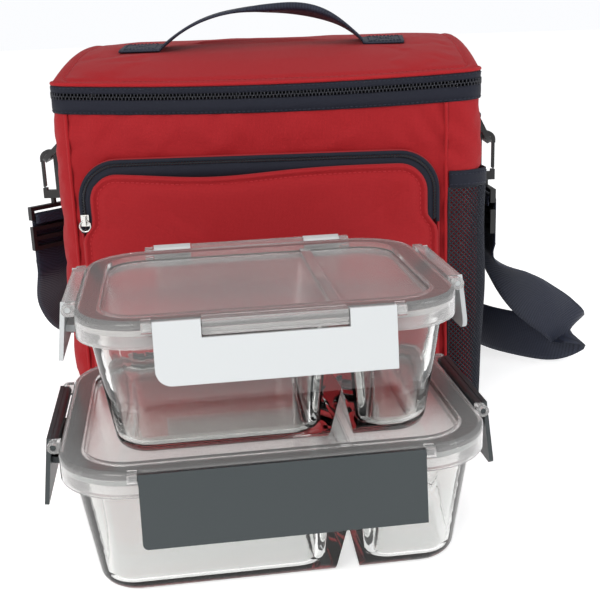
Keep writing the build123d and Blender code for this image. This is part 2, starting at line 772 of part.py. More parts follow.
class Container:
    """sizes of one container; every outline is a rounded rectangle inside its rim"""

    def __init__(self, name, base, rim, corner, plates, plate_height, plate_round,
                 divider, block_half):
        self.name = name
        self.base = base
        self.rim = rim
        self.corner = corner
        self.plates = plates                # half lengths: front and rear, left and right
        self.plate_height = plate_height
        self.plate_round = plate_round
        self.divider = divider
        self.block_half = block_half        # half length of the lid's block inside a latch

    def at(self, height):
        """level plane at a height above the container's base"""
        return stack.offset(self.base + height)

    def outline(self, inset, mode=Mode.ADD):
        """outline of the rim, moved inwards by inset"""
        RectangleRounded(self.rim[0] - 2 * inset, self.rim[1] - 2 * inset,
                         max(self.corner - inset, 4), mode=mode)

    def slab(self, outer, inner, low, high, mode=Mode.ADD):
        """flat ring between two insets and two heights, or a full slab without an inner one"""
        with BuildSketch(self.at(low)) as shape:
            self.outline(outer)
            if inner is not None:
                self.outline(inner, mode=Mode.SUBTRACT)
        extrude(shape.sketch, amount=high - low, mode=mode)

    def side(self, number):
        """tangent, outward direction and hinge axis point of one of the four sides"""
        turn = stack_turn + 90 * number
        tangent = Vector(cos(radians(turn)), sin(radians(turn)), 0)
        outward = tangent.cross(Vector(0, 0, 1))
        reach = self.rim[(number + 1) % 2] / 2 + skirt_offset + hinge_standoff
        axis_point = stack.from_local_coords(Vector(0, 0, self.base + axis_height))
        return tangent, outward, axis_point + outward * reach

    def section(self, number, turn=0.0):
        """plane across a hinge axis: x outward, y upward, turned outward about the axis"""
        tangent, outward, point = self.side(number)
        out = outward * cos(radians(turn)) + Vector(0, 0, sin(radians(turn)))
        return Plane(origin=point, x_dir=out, z_dir=tangent * -1)

    def face(self, number, turn=0.0):
        """plane along a hinge axis: x along the side, y upward, looking outward"""
        tangent, outward, point = self.side(number)
        out = outward * cos(radians(turn)) + Vector(0, 0, sin(radians(turn)))
        return Plane(origin=point, x_dir=tangent, z_dir=out)


lower = Container("lower", 0.0, (220.0, 170.0), 36.0, (71.0, 40.0), 38.0, (3.0, 6.0),
                  34.0, 0.0)
upper = Container("upper", panel_top + 0.3, (192.0, 150.0), 32.0, (59.0, 37.0), 31.5,
                  (8.0, 8.0), lower.divider, 35.5)


def write_dish(box):
    """glass dish with a rim to latch under and a wall between its two compartments"""
    half_top = box.rim[0] / 2 - rim_lip - glass_wall
    half_foot = half_top - foot_inset
    hollows = []
    for left, right in (
        ((-half_foot, -half_top),
         (box.divider - divider_foot / 2, box.divider - divider_top / 2)),
        ((box.divider + divider_foot / 2, box.divider + divider_top / 2),
         (half_foot, half_top)),
    ):
        with BuildPart() as hollow:
            depth_foot = box.rim[1] / 2 - rim_lip - foot_inset - glass_wall
            depth_top = depth_foot + foot_inset
            with BuildSketch(box.at(glass_floor)):
                with Locations(((left[0] + right[0]) / 2, 0)):
                    RectangleRounded(right[0] - left[0], 2 * depth_foot, 16)
            with BuildSketch(box.at(dish_height)):
                with Locations(((left[1] + right[1]) / 2, 0)):
                    RectangleRounded(right[1] - left[1], 2 * depth_top, 20)
            loft()
            fillet(hollow.faces().sort_by(Axis.Z)[0].edges(), radius=foot_edge_radius - 1)
        hollows.append(hollow.part)
    with BuildPart() as dish:
        with BuildSketch(box.at(0)):
            box.outline(rim_lip + foot_inset)
        with BuildSketch(box.at(dish_height - rim_height)):
            box.outline(rim_lip)
        loft()
        fillet(dish.faces().sort_by(Axis.Z)[0].edges(), radius=foot_edge_radius)
        box.slab(0, None, dish_height - rim_height, dish_height)
        for hollow in hollows:
            add(hollow, mode=Mode.SUBTRACT)
        box.slab(rim_lip + glass_wall, None, dish_height - divider_drop, dish_height,
                 mode=Mode.SUBTRACT)
        notch_plane = Plane(origin=stack.from_local_coords(Vector(box.divider, 0, box.base)),
                            x_dir=stack.x_dir, z_dir=stack.y_dir * -1)
        with BuildSketch(notch_plane):
            with BuildLine():
                Polyline((-notch_width / 2, 0), (0, notch_height), (notch_width / 2, 0),
                         close=True)
            make_face()
        extrude(amount=box.rim[1], both=True, mode=Mode.SUBTRACT)
    save(dish, f"{box.name}_dish")


def write_gasket(box):
    """silicone ring that lies in the lid's groove"""
    with BuildPart() as gasket:
        box.slab(0, plug_inset - gasket_side_clearance, dish_height + gasket_clearance,
                 groove_top)
    save(gasket, f"{box.name}_gasket")


def write_lid(box):
    """plastic lid: skirt round the rim, plug inside it, sunk panels and hinge ears"""
    recess = recess_inset - skirt_offset + 2
    with BuildPart() as lid:
        box.slab(-skirt_offset, None, skirt_low, lid_top)
        fillet(lid.faces().sort_by(Axis.Z)[-1].edges(), radius=lid_corner_round)
        box.slab(-lid_clearance, plug_inset, skirt_low, groove_top, mode=Mode.SUBTRACT)
        box.slab(plug_inset, None, skirt_low, plug_low, mode=Mode.SUBTRACT)
        box.slab(plug_inset + plug_wall, None, plug_low, panel_top - panel_thickness,
                 mode=Mode.SUBTRACT)
        box.slab(recess, None, panel_top, lid_top, mode=Mode.SUBTRACT)
        for width, low, high, inset in (
            (rib_width, panel_top, panel_top + rib_height, recess),
            (seal_rib_width, plug_low, panel_top - panel_thickness, plug_inset + plug_wall),
        ):
            with BuildSketch(box.at(low)):
                with Locations((box.divider, 0)):
                    Rectangle(width, box.rim[1] - 2 * inset)
            extrude(amount=high - low)
        for number in range(4):
            half = box.plates[number % 2]
            section = box.section(number)
            for start in (half + ear_gap, -half - ear_gap - ear_width):
                with BuildSketch(section.offset(start)):
                    with Locations((-hinge_standoff - ear_sink, 0)):
                        Rectangle(hinge_standoff + ear_sink, ear_height,
                                  align=(Align.MIN, Align.CENTER))
                    Circle(ear_height / 2)
                    Circle(pin_radius + pin_clearance, mode=Mode.SUBTRACT)
                extrude(amount=ear_width)
            if box.block_half:
                with BuildSketch(section):
                    with Locations((-hinge_standoff - ear_sink, -block_drop)):
                        Rectangle(hinge_standoff + ear_sink + ear_height / 2,
                                  block_drop + ear_height / 2,
                                  align=(Align.MIN, Align.MIN))
                extrude(amount=box.block_half, both=True)
    save(lid, f"{box.name}_lid")


def write_latch(box, number, name):
    """latch plate with its hinge barrel, end pins and catch, hanging at its rest angle"""
    half = box.plates[number % 2]
    face = box.face(number, latch_rest_angle)
    section = box.section(number, latch_rest_angle)
    with BuildPart() as latch:
        with BuildSketch(face.offset(latch_offset)) as plate:
            with Locations((0, latch_lip)):
                Rectangle(2 * half, box.plate_height, align=(Align.CENTER, Align.MAX))
            low_corners = plate.vertices().group_by(Axis.Y)[0].sort_by(Axis.X)
            for corner, radius in zip(low_corners, box.plate_round):
                fillet(corner, radius=radius)
        extrude(amount=latch_thickness)
        with BuildSketch(section):
            Circle(barrel_radius)
            Rectangle(latch_offset + 0.2, 2 * barrel_radius, align=(Align.MIN, Align.CENTER))
        extrude(amount=half, both=True)
        with BuildSketch(section):
            with Locations((latch_offset + 0.2, -catch_top)):
                Rectangle(catch_reach + latch_offset + 0.2, catch_height,
                          align=(Align.MAX, Align.MAX))
        extrude(amount=half - catch_end, both=True)
        if box.block_half:
            with BuildSketch(face.offset(-barrel_radius - 1)):
                with Locations((0, -notch_drop)):
                    Rectangle(2 * (box.block_half + block_clearance),
                              notch_drop + 2 * latch_lip, align=(Align.CENTER, Align.MIN))
            extrude(amount=latch_offset + latch_thickness + barrel_radius + 2,
                    mode=Mode.SUBTRACT)
        for start in (half - 1, -half - pin_length):
            with BuildSketch(section.offset(start)):
                Circle(pin_radius)
            extrude(amount=pin_length + 1)
    save(latch, f"{box.name}_latch_{name}")


for box in (lower, upper):
    write_dish(box)
    write_gasket(box)
    write_lid(box)
    for number, name in enumerate(("front", "right", "rear", "left")):
        write_latch(box, number, name)
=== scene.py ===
# %% [markdown]
# # An insulated lunch bag with two stacked glass containers
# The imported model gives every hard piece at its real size. This lesson dresses it: the fabric is
# rebuilt as soft pieces, and every hard piece gets a finish that shows what it is made of.

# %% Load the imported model
import math

import bmesh
import bpy
import numpy as np
from mathutils import Matrix, Vector, noise


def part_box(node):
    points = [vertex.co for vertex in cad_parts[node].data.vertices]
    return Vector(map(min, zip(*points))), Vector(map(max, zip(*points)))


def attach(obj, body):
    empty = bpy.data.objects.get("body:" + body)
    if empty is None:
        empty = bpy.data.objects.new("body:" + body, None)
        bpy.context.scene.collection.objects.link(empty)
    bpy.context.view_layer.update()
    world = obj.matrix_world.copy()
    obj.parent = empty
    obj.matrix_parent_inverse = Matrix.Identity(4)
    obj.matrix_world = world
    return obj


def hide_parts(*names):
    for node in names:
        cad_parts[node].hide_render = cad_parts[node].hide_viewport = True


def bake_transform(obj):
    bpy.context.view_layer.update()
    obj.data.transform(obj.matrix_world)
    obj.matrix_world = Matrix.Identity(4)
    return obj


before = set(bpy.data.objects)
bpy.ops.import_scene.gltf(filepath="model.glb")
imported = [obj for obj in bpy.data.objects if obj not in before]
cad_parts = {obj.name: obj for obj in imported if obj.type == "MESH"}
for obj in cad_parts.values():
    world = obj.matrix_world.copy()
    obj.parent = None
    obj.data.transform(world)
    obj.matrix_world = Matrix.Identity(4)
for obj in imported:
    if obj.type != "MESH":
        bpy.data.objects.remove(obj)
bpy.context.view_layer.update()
scene = bpy.context.scene

# %% [markdown]
# ## Camera, floor and light
# The camera stands a little above the lid and looks slightly down. Wide soft lamps and a pale world
# stand in for a bright room, because clear glass and milky plastic only show what surrounds them.

# %% Camera
CAMERA_PLACE = (0.02939, -0.79214, 0.28716)
CAMERA_YAW = -0.872             # degrees, to the right
CAMERA_PITCH = 15.90            # degrees, downwards
CAMERA_ROLL = 2.08
FOCAL_SHARE = 1.6644            # focal length over picture width

camera_data = bpy.data.cameras.new("camera")
camera_data.sensor_width = 36
camera_data.lens = 36 * FOCAL_SHARE
camera = bpy.data.objects.new("camera", camera_data)
scene.collection.objects.link(camera)
yaw, pitch, roll = (math.radians(a) for a in (CAMERA_YAW, CAMERA_PITCH, CAMERA_ROLL))
forward = Vector((math.sin(yaw) * math.cos(pitch), math.cos(yaw) * math.cos(pitch), -math.sin(pitch)))
level = Vector((math.cos(yaw), -math.sin(yaw), 0))
upright = level.cross(forward)
camera_right = math.cos(roll) * level - math.sin(roll) * upright
camera_up = math.sin(roll) * level + math.cos(roll) * upright
camera.matrix_world = Matrix.Translation(CAMERA_PLACE) @ Matrix(
    (camera_right, camera_up, -forward)).transposed().to_4x4()
scene.camera = camera
scene.view_settings.view_transform = "Standard"
print("lens", round(camera_data.lens, 1), "mm")


# %% Floor, world and lamps
def new_material(name):
    """material with nodes, its tree and its principled shader"""
    material = bpy.data.materials.new(name)
    material.use_nodes = True
    tree = material.node_tree
    return material, tree, tree.nodes["Principled BSDF"]


def soft_lamp(name, place, target, size, watts, colour):
    """square area lamp that faces a target"""
    data = bpy.data.lights.new(name, "AREA")
    data.size = size
    data.energy = watts
    data.color = colour
    lamp = bpy.data.objects.new(name, data)
    lamp.location = place
    lamp.rotation_euler = (Vector(target) - Vector(place)).to_track_quat("-Z", "Y").to_euler()
    scene.collection.objects.link(lamp)


floor_material, floor_tree, floor_shader = new_material("pale_floor")
floor_shader.inputs["Base Color"].default_value = (0.86, 0.86, 0.86, 1)
floor_shader.inputs["Roughness"].default_value = 0.7
floor_shader.inputs["Emission Color"].default_value = (1, 1, 1, 1)
floor_shader.inputs["Emission Strength"].default_value = 0.60
floor_mesh = bpy.data.meshes.new("floor")
floor_builder = bmesh.new()
bmesh.ops.create_circle(floor_builder, cap_ends=True, radius=12, segments=96)
floor_builder.to_mesh(floor_mesh)
floor_builder.free()
floor_mesh.materials.append(floor_material)
floor = bpy.data.objects.new("floor", floor_mesh)
floor.location.z = -0.0004
scene.collection.objects.link(floor)

world = bpy.data.worlds.new("pale_world")
scene.world = world
world.use_nodes = True
backdrop = world.node_tree.nodes["Background"]
backdrop.inputs["Color"].default_value = (0.97, 0.98, 1.0, 1)
seen = world.node_tree.nodes.new("ShaderNodeLightPath")
strength = world.node_tree.nodes.new("ShaderNodeMapRange")
strength.inputs["To Min"].default_value = 0.52
strength.inputs["To Max"].default_value = 1.0
world.node_tree.links.new(seen.outputs["Is Camera Ray"], strength.inputs["Value"])
world.node_tree.links.new(strength.outputs[0], backdrop.inputs["Strength"])
soft_lamp("lamp_front", (-0.7, -1.6, 1.1), (0, -0.1, 0.1), 0.9, 17, (1.0, 0.98, 0.95))
soft_lamp("lamp_top", (0.25, -0.4, 1.7), (0, -0.1, 0.1), 0.8, 4, (1.0, 0.99, 0.97))
soft_lamp("lamp_right", (1.5, -0.7, 0.9), (0, -0.1, 0.1), 0.7, 7, (0.96, 0.98, 1.0))
print("floor and lamps ready")

# %% [markdown]
# ## Shared surface effects
# Cloth, webbing and moulded plastic each have a fine relief that repeats on many pieces. Each effect
# is a node group with named sockets, so a material only sets how coarse or strong it is. The relief
# is worked out from the place on the piece, so it needs no unwrapping.


# %% Helpers for node groups
def start_group(name, inputs, outputs):
    """empty node group with float or colour sockets; inputs are name: starting value"""
    group = bpy.data.node_groups.new(name, "ShaderNodeTree")
    for label, start in inputs.items():
        socket = group.interface.new_socket(name=label, in_out="INPUT", socket_type="NodeSocketFloat")
        socket.default_value = start
    for label in outputs:
        group.interface.new_socket(name=label, in_out="OUTPUT", socket_type="NodeSocketFloat")
    return group, group.nodes.new("NodeGroupInput"), group.nodes.new("NodeGroupOutput")


def arithmetic(tree, operation, *terms):
    """one math node; each term is a number or a socket"""
    made = tree.nodes.new("ShaderNodeMath")
    made.operation = operation
    for number, term in enumerate(terms):
        if isinstance(term, (int, float)):
            made.inputs[number].default_value = term
        else:
            tree.links.new(term, made.inputs[number])
    return made.outputs[0]


def noise_value(tree, place, scale, detail=3.0, stretch=None):
    """cloudy values from 0 to 1 over a place"""
    made = tree.nodes.new("ShaderNodeTexNoise")
    made.inputs["Scale"].default_value = scale
    made.inputs["Detail"].default_value = detail
    if stretch:
        mapping = tree.nodes.new("ShaderNodeMapping")
        mapping.inputs["Scale"].default_value = stretch
        tree.links.new(place, mapping.inputs["Vector"])
        place = mapping.outputs[0]
    tree.links.new(place, made.inputs["Vector"])
    return made.outputs[0]


def flat_place(tree):
    """two distances along the surface, chosen by the side that the piece faces there"""
    place = tree.nodes.new("ShaderNodeTexCoord")
    spot = tree.nodes.new("ShaderNodeSeparateXYZ")
    facing = tree.nodes.new("ShaderNodeSeparateXYZ")
    tree.links.new(place.outputs["Object"], spot.inputs[0])
    tree.links.new(place.outputs["Normal"], facing.inputs[0])
    x, y, z = spot.outputs
    side = arithmetic(tree, "GREATER_THAN", arithmetic(tree, "ABSOLUTE", facing.outputs[0]), 0.71)
    flat = arithmetic(tree, "GREATER_THAN", arithmetic(tree, "ABSOLUTE", facing.outputs[2]), 0.71)
    across = arithmetic(tree, "ADD", arithmetic(tree, "MULTIPLY", x, arithmetic(tree, "SUBTRACT", 1, side)),
                        arithmetic(tree, "MULTIPLY", y, side))
    up = arithmetic(tree, "ADD", arithmetic(tree, "MULTIPLY", z, arithmetic(tree, "SUBTRACT", 1, flat)),
                    arithmetic(tree, "MULTIPLY", y, flat))
    return place.outputs["Object"], across, up


# %% Woven cloth
def make_weave():
    """plain weave: threads pass over and under each other in a chequer"""
    group, given, result = start_group(
        "woven_cloth", {"Thread": 0.0009, "Fade Size": 9.0}, ("Height", "Thread Shade", "Fade"))
    place, across, up = flat_place(group)
    turn = arithmetic(group, "DIVIDE", math.pi, given.outputs["Thread"])
    warp = arithmetic(group, "SINE", arithmetic(group, "MULTIPLY", across, turn))
    weft = arithmetic(group, "SINE", arithmetic(group, "MULTIPLY", up, turn))
    over = arithmetic(group, "GREATER_THAN", arithmetic(group, "MULTIPLY", warp, weft), 0)
    height = arithmetic(group, "ADD",
                        arithmetic(group, "MULTIPLY", arithmetic(group, "ABSOLUTE", warp), over),
                        arithmetic(group, "MULTIPLY", arithmetic(group, "ABSOLUTE", weft),
                                   arithmetic(group, "SUBTRACT", 1, over)))
    slub = noise_value(group, place, 900, 2)
    group.links.new(arithmetic(group, "ADD", height, arithmetic(group, "MULTIPLY", slub, 0.5)),
                    result.inputs["Height"])
    group.links.new(arithmetic(group, "ADD", arithmetic(group, "MULTIPLY", height, 0.5),
                               arithmetic(group, "MULTIPLY", slub, 0.5)), result.inputs["Thread Shade"])
    fade = noise_value(group, place, 9, 4)
    group.links.new(given.outputs["Fade Size"], fade.node.inputs["Scale"])
    group.links.new(fade, result.inputs["Fade"])
    return group


# %% Ribbed webbing
def make_ribs():
    """narrow webbing: ribs across it, bent into a shallow chevron, and a firmer edge"""
    group, given, result = start_group(
        "ribbed_webbing", {"Rib": 0.0022, "Width": 0.038}, ("Height", "Rib Shade"))
    lie = group.nodes.new("ShaderNodeUVMap")
    lie.uv_map = "lie"
    spot = group.nodes.new("ShaderNodeSeparateXYZ")
    group.links.new(lie.outputs[0], spot.inputs[0])
    across, along = spot.outputs[0], spot.outputs[1]
    middle = arithmetic(group, "ABSOLUTE", across)
    bent = arithmetic(group, "ADD", along, arithmetic(group, "MULTIPLY", middle, 0.35))
    turn = arithmetic(group, "DIVIDE", math.pi, given.outputs["Rib"])
    ribs = arithmetic(group, "ABSOLUTE", arithmetic(group, "SINE", arithmetic(group, "MULTIPLY", bent, turn)))
    yarn = arithmetic(group, "ABSOLUTE", arithmetic(group, "SINE", arithmetic(
        group, "MULTIPLY", across, arithmetic(group, "MULTIPLY", turn, 1.7))))
    edge = arithmetic(group, "GREATER_THAN", middle, arithmetic(group, "MULTIPLY", given.outputs["Width"], 0.44))
    height = arithmetic(group, "ADD", arithmetic(group, "MULTIPLY", ribs, 0.7),
                        arithmetic(group, "MULTIPLY", yarn, 0.45))
    group.links.new(arithmetic(group, "ADD", height, arithmetic(group, "MULTIPLY", edge, 0.4)),
                    result.inputs["Height"])
    group.links.new(height, result.inputs["Rib Shade"])
    return group


# %% Moulded plastic
def make_mould():
    """fine spark-eroded grain, slow waviness and thin rubbed spots"""
    group, given, result = start_group(
        "moulded_plastic", {"Grain Size": 1800.0, "Rubbed": 0.5}, ("Height", "Rubbed Spots", "Haze"))
    place = group.nodes.new("ShaderNodeTexCoord").outputs["Object"]
    grain = noise_value(group, place, 1800, 2)
    group.links.new(given.outputs["Grain Size"], grain.node.inputs["Scale"])
    wave = noise_value(group, place, 28, 2)
    group.links.new(arithmetic(group, "ADD", grain, arithmetic(group, "MULTIPLY", wave, 3.0)),
                    result.inputs["Height"])
    rub = noise_value(group, place, 45, 6, (1.0, 1.0, 3.5))
    spots = arithmetic(group, "SMOOTH_MIN", arithmetic(group, "MULTIPLY", arithmetic(
        group, "SUBTRACT", rub, arithmetic(group, "SUBTRACT", 0.9, arithmetic(
            group, "MULTIPLY", given.outputs["Rubbed"], 0.4))), 5.0), 1.0, 0.1)
    group.links.new(arithmetic(group, "MAXIMUM", spots, 0.0), result.inputs["Rubbed Spots"])
    group.links.new(noise_value(group, place, 14, 3), result.inputs["Haze"])
    return group


weave_group, rib_group, mould_group = make_weave(), make_ribs(), make_mould()
print("node groups", [g.name for g in bpy.data.node_groups])

# %% [markdown]
# ## Finishes
# Every finish below mixes two close colours through the relief of its group, and lets the same
# relief drive a bump, so that light and colour agree. What is the same all over is set on the
# shader's own sockets.


# %% Helpers for finishes
def place_group(tree, group, **values):
    """one use of a shared group with its own values"""
    made = tree.nodes.new("ShaderNodeGroup")
    made.node_tree = group
    for label, value in values.items():
        made.inputs[label.replace("_", " ")].default_value = value
    return made


def mix_colours(tree, share, first, second):
    """colour that goes from first to second as share goes from 0 to 1"""
    made = tree.nodes.new("ShaderNodeMix")
    made.data_type = "RGBA"
    tree.links.new(share, made.inputs["Factor"])
    for socket, colour in ((made.inputs[6], first), (made.inputs[7], second)):
        if isinstance(colour, tuple):
            socket.default_value = (*colour, 1)
        else:
            tree.links.new(colour, socket)
    return made.outputs[2]


def spread(tree, value, low, high):
    """value from 0 to 1 turned into low to high"""
    made = tree.nodes.new("ShaderNodeMapRange")
    made.inputs["To Min"].default_value = low
    made.inputs["To Max"].default_value = high
    tree.links.new(value, made.inputs["Value"])
    return made.outputs[0]


def relief(tree, shader, height, depth, strength=0.6):
    """bump of a depth in metres"""
    bump = tree.nodes.new("ShaderNodeBump")
    bump.inputs["Strength"].default_value = strength
    bump.inputs["Distance"].default_value = depth
    tree.links.new(height, bump.inputs["Height"])
    tree.links.new(bump.outputs[0], shader.inputs["Normal"])


# %% Cloth finishes
def cloth(name, dark, light, faded, thread, rough=0.80, sheen=0.06):
    """woven polyester whose colour changes with the thread and fades in large patches"""
    material, tree, shader = new_material(name)
    weave = place_group(tree, weave_group, Thread=thread)
    threads = mix_colours(tree, weave.outputs["Thread Shade"], dark, light)
    patches = spread(tree, weave.outputs["Fade"], -0.6, 1.1)
    tree.links.new(mix_colours(tree, patches, threads, faded), shader.inputs["Base Color"])
    tree.links.new(spread(tree, weave.outputs["Thread Shade"], rough + 0.1, rough - 0.1),
                   shader.inputs["Roughness"])
    shader.inputs["Sheen Weight"].default_value = sheen
    shader.inputs["Sheen Roughness"].default_value = 0.4
    shader.inputs["Specular IOR Level"].default_value = 0.3
    relief(tree, shader, weave.outputs["Height"], 0.00016)
    return material


red_cloth = cloth("red_cloth", (0.22, 0.003, 0.006), (0.41, 0.008, 0.013), (0.34, 0.009, 0.014), 0.0009)
red_edge = cloth("red_edge_cloth", (0.24, 0.003, 0.006), (0.44, 0.008, 0.013), (0.37, 0.009, 0.014), 0.0007)
navy_cloth = cloth("navy_tape_cloth", (0.004, 0.005, 0.011), (0.011, 0.013, 0.027), (0.009, 0.011, 0.020), 0.0006,
                   0.75, 0.03)
red_thread = cloth("red_thread", (0.33, 0.010, 0.016), (0.55, 0.03, 0.04), (0.45, 0.02, 0.03), 0.0004)
navy_thread = cloth("navy_thread", (0.010, 0.012, 0.022), (0.03, 0.035, 0.06), (0.02, 0.024, 0.04), 0.0004)
mesh_yarn = cloth("mesh_yarn", (0.006, 0.007, 0.012), (0.020, 0.024, 0.040), (0.014, 0.017, 0.028), 0.0004, 0.6, 0.3)


def webbing(name, width):
    """ribbed polyester webbing"""
    material, tree, shader = new_material(name)
    ribs = place_group(tree, rib_group, Width=width)
    weave = place_group(tree, weave_group, Thread=0.0008)
    yarns = mix_colours(tree, ribs.outputs["Rib Shade"], (0.004, 0.005, 0.011), (0.014, 0.019, 0.040))
    patches = spread(tree, weave.outputs["Fade"], -0.7, 0.9)
    tree.links.new(mix_colours(tree, patches, yarns, (0.011, 0.014, 0.027)), shader.inputs["Base Color"])
    tree.links.new(spread(tree, ribs.outputs["Rib Shade"], 0.75, 0.5), shader.inputs["Roughness"])
    shader.inputs["Sheen Weight"].default_value = 0.04
    shader.inputs["Specular IOR Level"].default_value = 0.35
    relief(tree, shader, ribs.outputs["Height"], 0.0003, 0.8)
    return material


strap_webbing = webbing("strap_webbing", 0.038)
handle_webbing = webbing("handle_webbing", 0.030)
tab_webbing = webbing("tab_webbing", 0.020)


def lining():
    """thin silver-grey film, softly crumpled"""
    material, tree, shader = new_material("lining_film")
    weave = place_group(tree, weave_group, Thread=0.0022, Fade_Size=60.0)
    shade = mix_colours(tree, weave.outputs["Fade"], (0.36, 0.37, 0.39), (0.60, 0.61, 0.63))
    tree.links.new(shade, shader.inputs["Base Color"])
    tree.links.new(spread(tree, weave.outputs["Fade"], 0.45, 0.25), shader.inputs["Roughness"])
    shader.inputs["Metallic"].default_value = 0.6
    relief(tree, shader, weave.outputs["Fade"], 0.004, 0.5)
    return material


def padding():
    """closed-cell foam"""
    material, tree, shader = new_material("wall_foam")
    mould = place_group(tree, mould_group, Grain_Size=700.0)
    tree.links.new(mix_colours(tree, mould.outputs["Haze"], (0.62, 0.62, 0.60), (0.80, 0.80, 0.77)),
                   shader.inputs["Base Color"])
    shader.inputs["Roughness"].default_value = 0.9
    relief(tree, shader, mould.outputs["Height"], 0.0004)
    return material


lining_film, wall_foam = lining(), padding()


# %% Plastics, rubber and metal
def plastic(name, colour, rubbed, rough, grain_depth=0.00004, rub=0.4, coat=0.0):
    """opaque moulded plastic"""
    material, tree, shader = new_material(name)
    mould = place_group(tree, mould_group, Rubbed=rub)
    tree.links.new(mix_colours(tree, mould.outputs["Rubbed Spots"], colour, rubbed), shader.inputs["Base Color"])
    tree.links.new(spread(tree, mould.outputs["Haze"], rough - 0.07, rough + 0.09), shader.inputs["Roughness"])
    shader.inputs["Coat Weight"].default_value = coat
    relief(tree, shader, mould.outputs["Height"], grain_depth, 0.4)
    return material


black_plastic = plastic("black_acetal", (0.008, 0.008, 0.009), (0.035, 0.034, 0.033), 0.42)
slate_plastic = plastic("slate_latch_plastic", (0.026, 0.035, 0.038), (0.040, 0.052, 0.056), 0.38)
white_plastic = plastic("white_latch_plastic", (0.55, 0.57, 0.58), (0.48, 0.50, 0.51), 0.40)
tooth_plastic = plastic("tooth_nylon", (0.010, 0.011, 0.018), (0.05, 0.052, 0.065), 0.35)
clear_silicone = plastic("pale_silicone", (0.66, 0.66, 0.64), (0.60, 0.60, 0.58), 0.5, 0.00006)
grey_silicone = plastic("grey_silicone", (0.36, 0.42, 0.40), (0.42, 0.47, 0.45), 0.6, 0.00006)


def bright_metal_finish():
    """nickel-plated metal with fine rubbing"""
    material, tree, shader = new_material("bright_metal_finish")
    mould = place_group(tree, mould_group, Grain_Size=2600.0, Rubbed=0.7)
    tree.links.new(mix_colours(tree, mould.outputs["Rubbed Spots"], (0.62, 0.61, 0.59), (0.82, 0.80, 0.77)),
                   shader.inputs["Base Color"])
    tree.links.new(spread(tree, mould.outputs["Haze"], 0.16, 0.34), shader.inputs["Roughness"])
    shader.inputs["Metallic"].default_value = 1.0
    relief(tree, shader, mould.outputs["Height"], 0.00002, 0.4)
    return material


bright_metal = bright_metal_finish()


# %% Clear pieces
def clear(name, light, dark, transmission, rough_low, rough_high, ior, wave_depth):
    """glass or see-through plastic: slightly wavy, with faint haze and finger marks"""
    material, tree, shader = new_material(name)
    mould = place_group(tree, mould_group, Grain_Size=300.0, Rubbed=0.5)
    tree.links.new(mix_colours(tree, mould.outputs["Haze"], light, dark), shader.inputs["Base Color"])
    tree.links.new(spread(tree, mould.outputs["Haze"], rough_low, rough_high), shader.inputs["Roughness"])
    shader.inputs["Transmission Weight"].default_value = transmission
    shader.inputs["IOR"].default_value = ior
    relief(tree, shader, mould.outputs["Height"], wave_depth, 0.25)
    return material


dish_glass = clear("dish_glass", (0.97, 0.975, 0.965), (0.92, 0.93, 0.915), 1.0, 0.0, 0.03, 1.45, 0.00005)
lid_plastic = clear("milky_lid_plastic", (0.90, 0.89, 0.885), (0.86, 0.85, 0.845), 0.80, 0.10, 0.20, 1.42, 0.00004)
print("finishes", len(bpy.data.materials))

# %% [markdown]
# ## Hard pieces
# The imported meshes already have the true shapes. Two modifiers turn their crisp corners into
# moulded ones: flat triangles are merged first, so that the bevel has clean edges to follow.


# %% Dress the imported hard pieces
def finish_node(name, material, bevel=0.0004, segments=2, angle=35.0):
    """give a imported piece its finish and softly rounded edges"""
    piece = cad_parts[name]
    piece.data.materials.clear()
    piece.data.materials.append(material)
    for polygon in piece.data.polygons:
        polygon.use_smooth = True
    if bevel:
        merge = piece.modifiers.new("merge_flats", "DECIMATE")
        merge.decimate_type = "DISSOLVE"
        merge.angle_limit = math.radians(0.5)
        round_edges = piece.modifiers.new("round_edges", "BEVEL")
        round_edges.width = bevel
        round_edges.segments = segments
        round_edges.limit_method = "ANGLE"
        round_edges.angle_limit = math.radians(angle)
        round_edges.harden_normals = True
    return piece


SIDES = ("front", "right", "rear", "left")
HANDS = ("left", "right")
for hand in HANDS:
    for part in ("strap_ring", "snap_hook", "hook_gate", "swivel_eye", "strap_adjuster"):
        finish_node(f"{part}_{hand}", black_plastic, 0.0005)
for box_name, latch_finish in (("lower", slate_plastic), ("upper", white_plastic)):
    finish_node(f"{box_name}_dish", dish_glass, 0.0006)
    finish_node(f"{box_name}_gasket", grey_silicone if box_name == "lower" else clear_silicone, 0.0006)
    finish_node(f"{box_name}_lid", lid_plastic, 0.0004)
    for side in SIDES:
        finish_node(f"{box_name}_latch_{side}", latch_finish, 0.0005)
for name in ("main_slider", "main_pull", "pocket_slider", "pocket_ring"):
    finish_node(name, bright_metal, 0.0002)
for name in ("body_foam", "lid_foam"):
    finish_node(name, wall_foam, 0)
for name in ("body_liner", "lid_liner"):
    finish_node(name, lining_film, 0)
for name in ("body_cover", "lid_cover", "lid_fold_strip", "pocket_gusset", "pocket_panel"):
    finish_node(name, red_cloth, 0)
for name in ("corner_piping_left", "corner_piping_right", "lid_piping"):
    finish_node(name, red_edge, 0)
for name in ("mouth_tape", "lid_tape", "pocket_outer_tape", "pocket_inner_tape", "mesh_binding", "mesh_pocket"):
    finish_node(name, navy_cloth, 0)
for name in ("body_teeth", "lid_teeth", "pocket_outer_teeth", "pocket_inner_teeth"):
    finish_node(name, tooth_plastic, 0)
for name in ("carry_handle", "shoulder_strap", "side_tab_left", "side_tab_right"):
    finish_node(name, navy_cloth, 0)
print("dressed", len(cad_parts), "packed pieces")
# %% [markdown]
# ## The outline that everything follows
# The bag is a rounded rectangle seen from above. Shell, tapes, teeth, piping and stitches all run
# along it, so one function gives the place and the outward direction at any distance round it, and
# one function skins a cross-section that is carried along a line.

